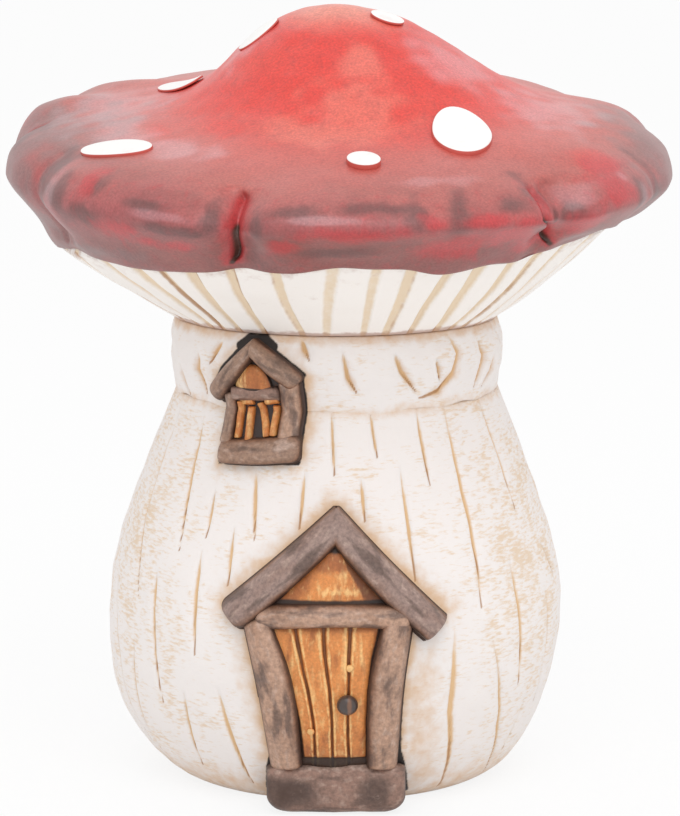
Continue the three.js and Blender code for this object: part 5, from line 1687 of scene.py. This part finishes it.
class TOADSTOOL_OT_window(bpy.types.Operator):
    """Builds the window with its logs, casements, gable panel and recess"""

    bl_idname = "toadstool.window"
    bl_label = "Window"

    def execute(self, context):
        sizes, house = context.scene.toadstool_stem, context.scene.toadstool_house
        azimuth = house.window_azimuth
        add_logs("window", WINDOW_LOGS, house.window_relief, azimuth, sizes, 100)
        add_piece("window_recess", [self.backing(azimuth, sizes)], "Shaded recess", "recess", "window_backing")
        add_piece("window_gable", [self.gable(azimuth, sizes)], "Gilded panel", "panel", "window_gable_panel")
        for side, bars in CASEMENT_BARS.items():
            bodies = [self.bar(ends, 140 + 5 * index, azimuth, sizes) for index, ends in enumerate(bars)]
            add_piece(f"window_{side}_casement", bodies, "Gilded panel", "panel", f"window_casement_{side}")
        return {"FINISHED"}

    def bar(self, ends, seed, azimuth, sizes):
        """One thin bar of a casement."""
        stations = [(*end, 2.4, 2.4) for end in ends]
        points, quads, fans, values = log(stations, azimuth, sizes, seed, (0.5, 0.5))
        crest = values["raise"]
        marks = {
            "line": 0.0 * crest,
            "edge": np.maximum(0.9 * (1.0 - crest), 0.36),
            "lip": 0.2 * crest,
            "shade": 1.0 - smooth(crest, 0.0, 0.3),
        }
        return points, quads, fans, marks

    def backing(self, azimuth, sizes):
        """Dark ground of the window, a sheet of painted shade for its hollow."""
        heights = np.linspace(109.0, 139.0, 40)
        left = np.interp(heights, (109, 126, 139), (-10, -10, -4))
        right = np.interp(heights, (109, 130, 139), (10, 10, 0))

        def face(across, up):
            return 0.7 * MM + 0.0 * across * up, {}

        return panel(heights, left, right, face, azimuth, sizes)

    def gable(self, azimuth, sizes):
        """Rounded lump under the peak."""
        heights = np.linspace(127.4, 135.2, 40)
        half = 6.4 * np.sqrt(np.maximum(1.0 - np.linspace(0.0, 1.0, 40) ** 2, 0.02))

        def face(across, up):
            edge = np.maximum(side_edge(across, up, 0.22), smooth(up, 0.75, 1.0))
            swell = np.sin(math.pi * across) ** 0.6 * np.sqrt(np.maximum(1.0 - up**2, 0.0))
            marks = {
                "line": 0.0 * edge,
                "edge": np.maximum(edge, 0.66),
                "lip": 0.55 * (1.0 - smooth(across, 0.2, 0.42)) + 0.0 * up,
                "shade": np.maximum(side_edge(across, up, 0.06), 1.0 - smooth(up, 0.04, 0.12)),
            }
            return 1.2 * MM + 2.0 * MM * swell, marks

        return panel(heights, -2.8 - half, -2.8 + half, face, azimuth, sizes)


# Stage

# Half the width of the floor, and how much of its shadow is lit away where it is seen
FLOOR_HALF = 14.0
FLOOR_GLOW = 0.85

# Place and width of the lamp, and the height that it is aimed at
LAMP_PLACE = (0.15, -1.1, 1.5)
LAMP_WIDTH = 1.3
LAMP_TARGET = 0.12

SENSOR_WIDTH = 36.0


class TOADSTOOL_OT_stage(bpy.types.Operator):
    """Builds the pale floor, the soft light and the camera"""

    bl_idname = "toadstool.stage"
    bl_label = "Stage"

    def execute(self, context):
        settings = context.scene.toadstool_stage
        context.scene.view_settings.view_transform = "Standard"
        self.floor()
        self.surroundings(context.scene, settings)
        self.lamp(context.scene, settings)
        self.camera(context.scene, settings)
        return {"FINISHED"}

    def floor(self):
        """Wide white floor that keeps a soft shadow."""
        mesh = bpy.data.meshes.new("floor")
        corners = [(x * FLOOR_HALF, y * FLOOR_HALF, 0) for x, y in ((-1, -1), (1, -1), (1, 1), (-1, 1))]
        mesh.from_pydata(corners, [], [(0, 1, 2, 3)])
        floor = bpy.data.objects.new("floor", mesh)
        bpy.context.scene.collection.objects.link(floor)
        material = bpy.data.materials.new("White floor")
        material.use_nodes = True
        tree = Tree(material.node_tree)
        shader = material.node_tree.nodes["Principled BSDF"]
        shader.inputs["Base Color"].default_value = (0.92, 0.92, 0.92, 1.0)
        shader.inputs["Roughness"].default_value = 0.9
        shader.inputs["Specular IOR Level"].default_value = 0.0
        glow = tree.add("Emission", {"Color": (1.0, 1.0, 1.0), "Strength": 1.0})
        rays = tree.add("LightPath").outputs
        seen = tree.sum("MAXIMUM", rays["Is Camera Ray"], rays["Is Glossy Ray"])
        mix = tree.add("MixShader", {0: tree.sum("MULTIPLY", seen, FLOOR_GLOW)})
        tree.feed(mix.inputs[1], shader.outputs[0])
        tree.feed(mix.inputs[2], glow.outputs[0])
        tree.feed(material.node_tree.nodes["Material Output"].inputs["Surface"], mix.outputs[0])
        mesh.materials.append(material)

    def surroundings(self, scene, settings):
        """White world, full white where the camera or a gloss sees it."""
        world = bpy.data.worlds.new("White room")
        world.use_nodes = True
        tree = Tree(world.node_tree)
        rays = tree.add("LightPath").outputs
        seen = tree.sum("MAXIMUM", rays["Is Camera Ray"], rays["Is Glossy Ray"])
        seen = tree.sum("MAXIMUM", seen, rays["Is Transmission Ray"])
        background = world.node_tree.nodes["Background"]
        background.inputs["Color"].default_value = (1.0, 1.0, 1.0, 1.0)
        tree.feed(background.inputs["Strength"], tree.fade(seen, 0.0, 1.0, settings.ambient, 1.0))
        scene.world = world

    def lamp(self, scene, settings):
        """A soft square light that faces the ornament."""
        light = bpy.data.lights.new("key_light", "AREA")
        light.energy = settings.key
        light.size = LAMP_WIDTH
        lamp = bpy.data.objects.new("key_light", light)
        lamp.location = LAMP_PLACE
        aim = -lamp.location
        aim.z += LAMP_TARGET
        lamp.rotation_euler = aim.to_track_quat("-Z", "Y").to_euler()
        scene.collection.objects.link(lamp)

    def camera(self, scene, settings):
        """Long lens a little above the ornament, straight in front of the door."""
        lens = bpy.data.cameras.new("camera")
        lens.lens = settings.lens
        lens.sensor_width = SENSOR_WIDTH
        lens.shift_x = settings.shift
        camera = bpy.data.objects.new("camera", lens)
        camera.location = (0.0, -settings.distance, settings.height)
        drop = math.atan2(settings.height - settings.target, settings.distance)
        camera.rotation_euler = (math.pi / 2 - drop, 0.0, 0.0)
        scene.collection.objects.link(camera)
        scene.camera = camera


OPERATORS = (
    TOADSTOOL_OT_stage,
    TOADSTOOL_OT_stem,
    TOADSTOOL_OT_collar,
    TOADSTOOL_OT_dish,
    TOADSTOOL_OT_cap,
    TOADSTOOL_OT_spots,
    TOADSTOOL_OT_door,
    TOADSTOOL_OT_window,
)


class TOADSTOOL_PT_panel(bpy.types.Panel):
    """Lists the pieces of the ornament"""

    bl_idname = "TOADSTOOL_PT_panel"
    bl_label = "Toadstool house"
    bl_space_type = "VIEW_3D"
    bl_region_type = "UI"
    bl_category = "Toadstool"

    def draw(self, context):
        for operator in OPERATORS:
            self.layout.operator(operator.bl_idname)


SETTINGS = {
    "toadstool_stem": StemSizes,
    "toadstool_cap": CapSizes,
    "toadstool_house": HouseSizes,
    "toadstool_paints": Paints,
    "toadstool_stage": StageSettings,
}


def register():
    """Adds the settings, the operators and the panel."""
    for name, group in SETTINGS.items():
        bpy.utils.register_class(group)
        setattr(bpy.types.Scene, name, PointerProperty(type=group))
    for operator in OPERATORS:
        bpy.utils.register_class(operator)
    bpy.utils.register_class(TOADSTOOL_PT_panel)


def unregister():
    """Takes the panel, the operators and the settings away."""
    bpy.utils.unregister_class(TOADSTOOL_PT_panel)
    for operator in reversed(OPERATORS):
        bpy.utils.unregister_class(operator)
    for name, group in reversed(SETTINGS.items()):
        delattr(bpy.types.Scene, name)
        bpy.utils.unregister_class(group)


def main():
    """Builds the ornament."""
    register()
    bpy.ops.toadstool.stage()
    bpy.ops.toadstool.stem()
    bpy.ops.toadstool.collar()
    bpy.ops.toadstool.dish()
    bpy.ops.toadstool.cap()
    bpy.ops.toadstool.spots()
    bpy.ops.toadstool.door()
    bpy.ops.toadstool.window()


if __name__ == "__main__":
    main()
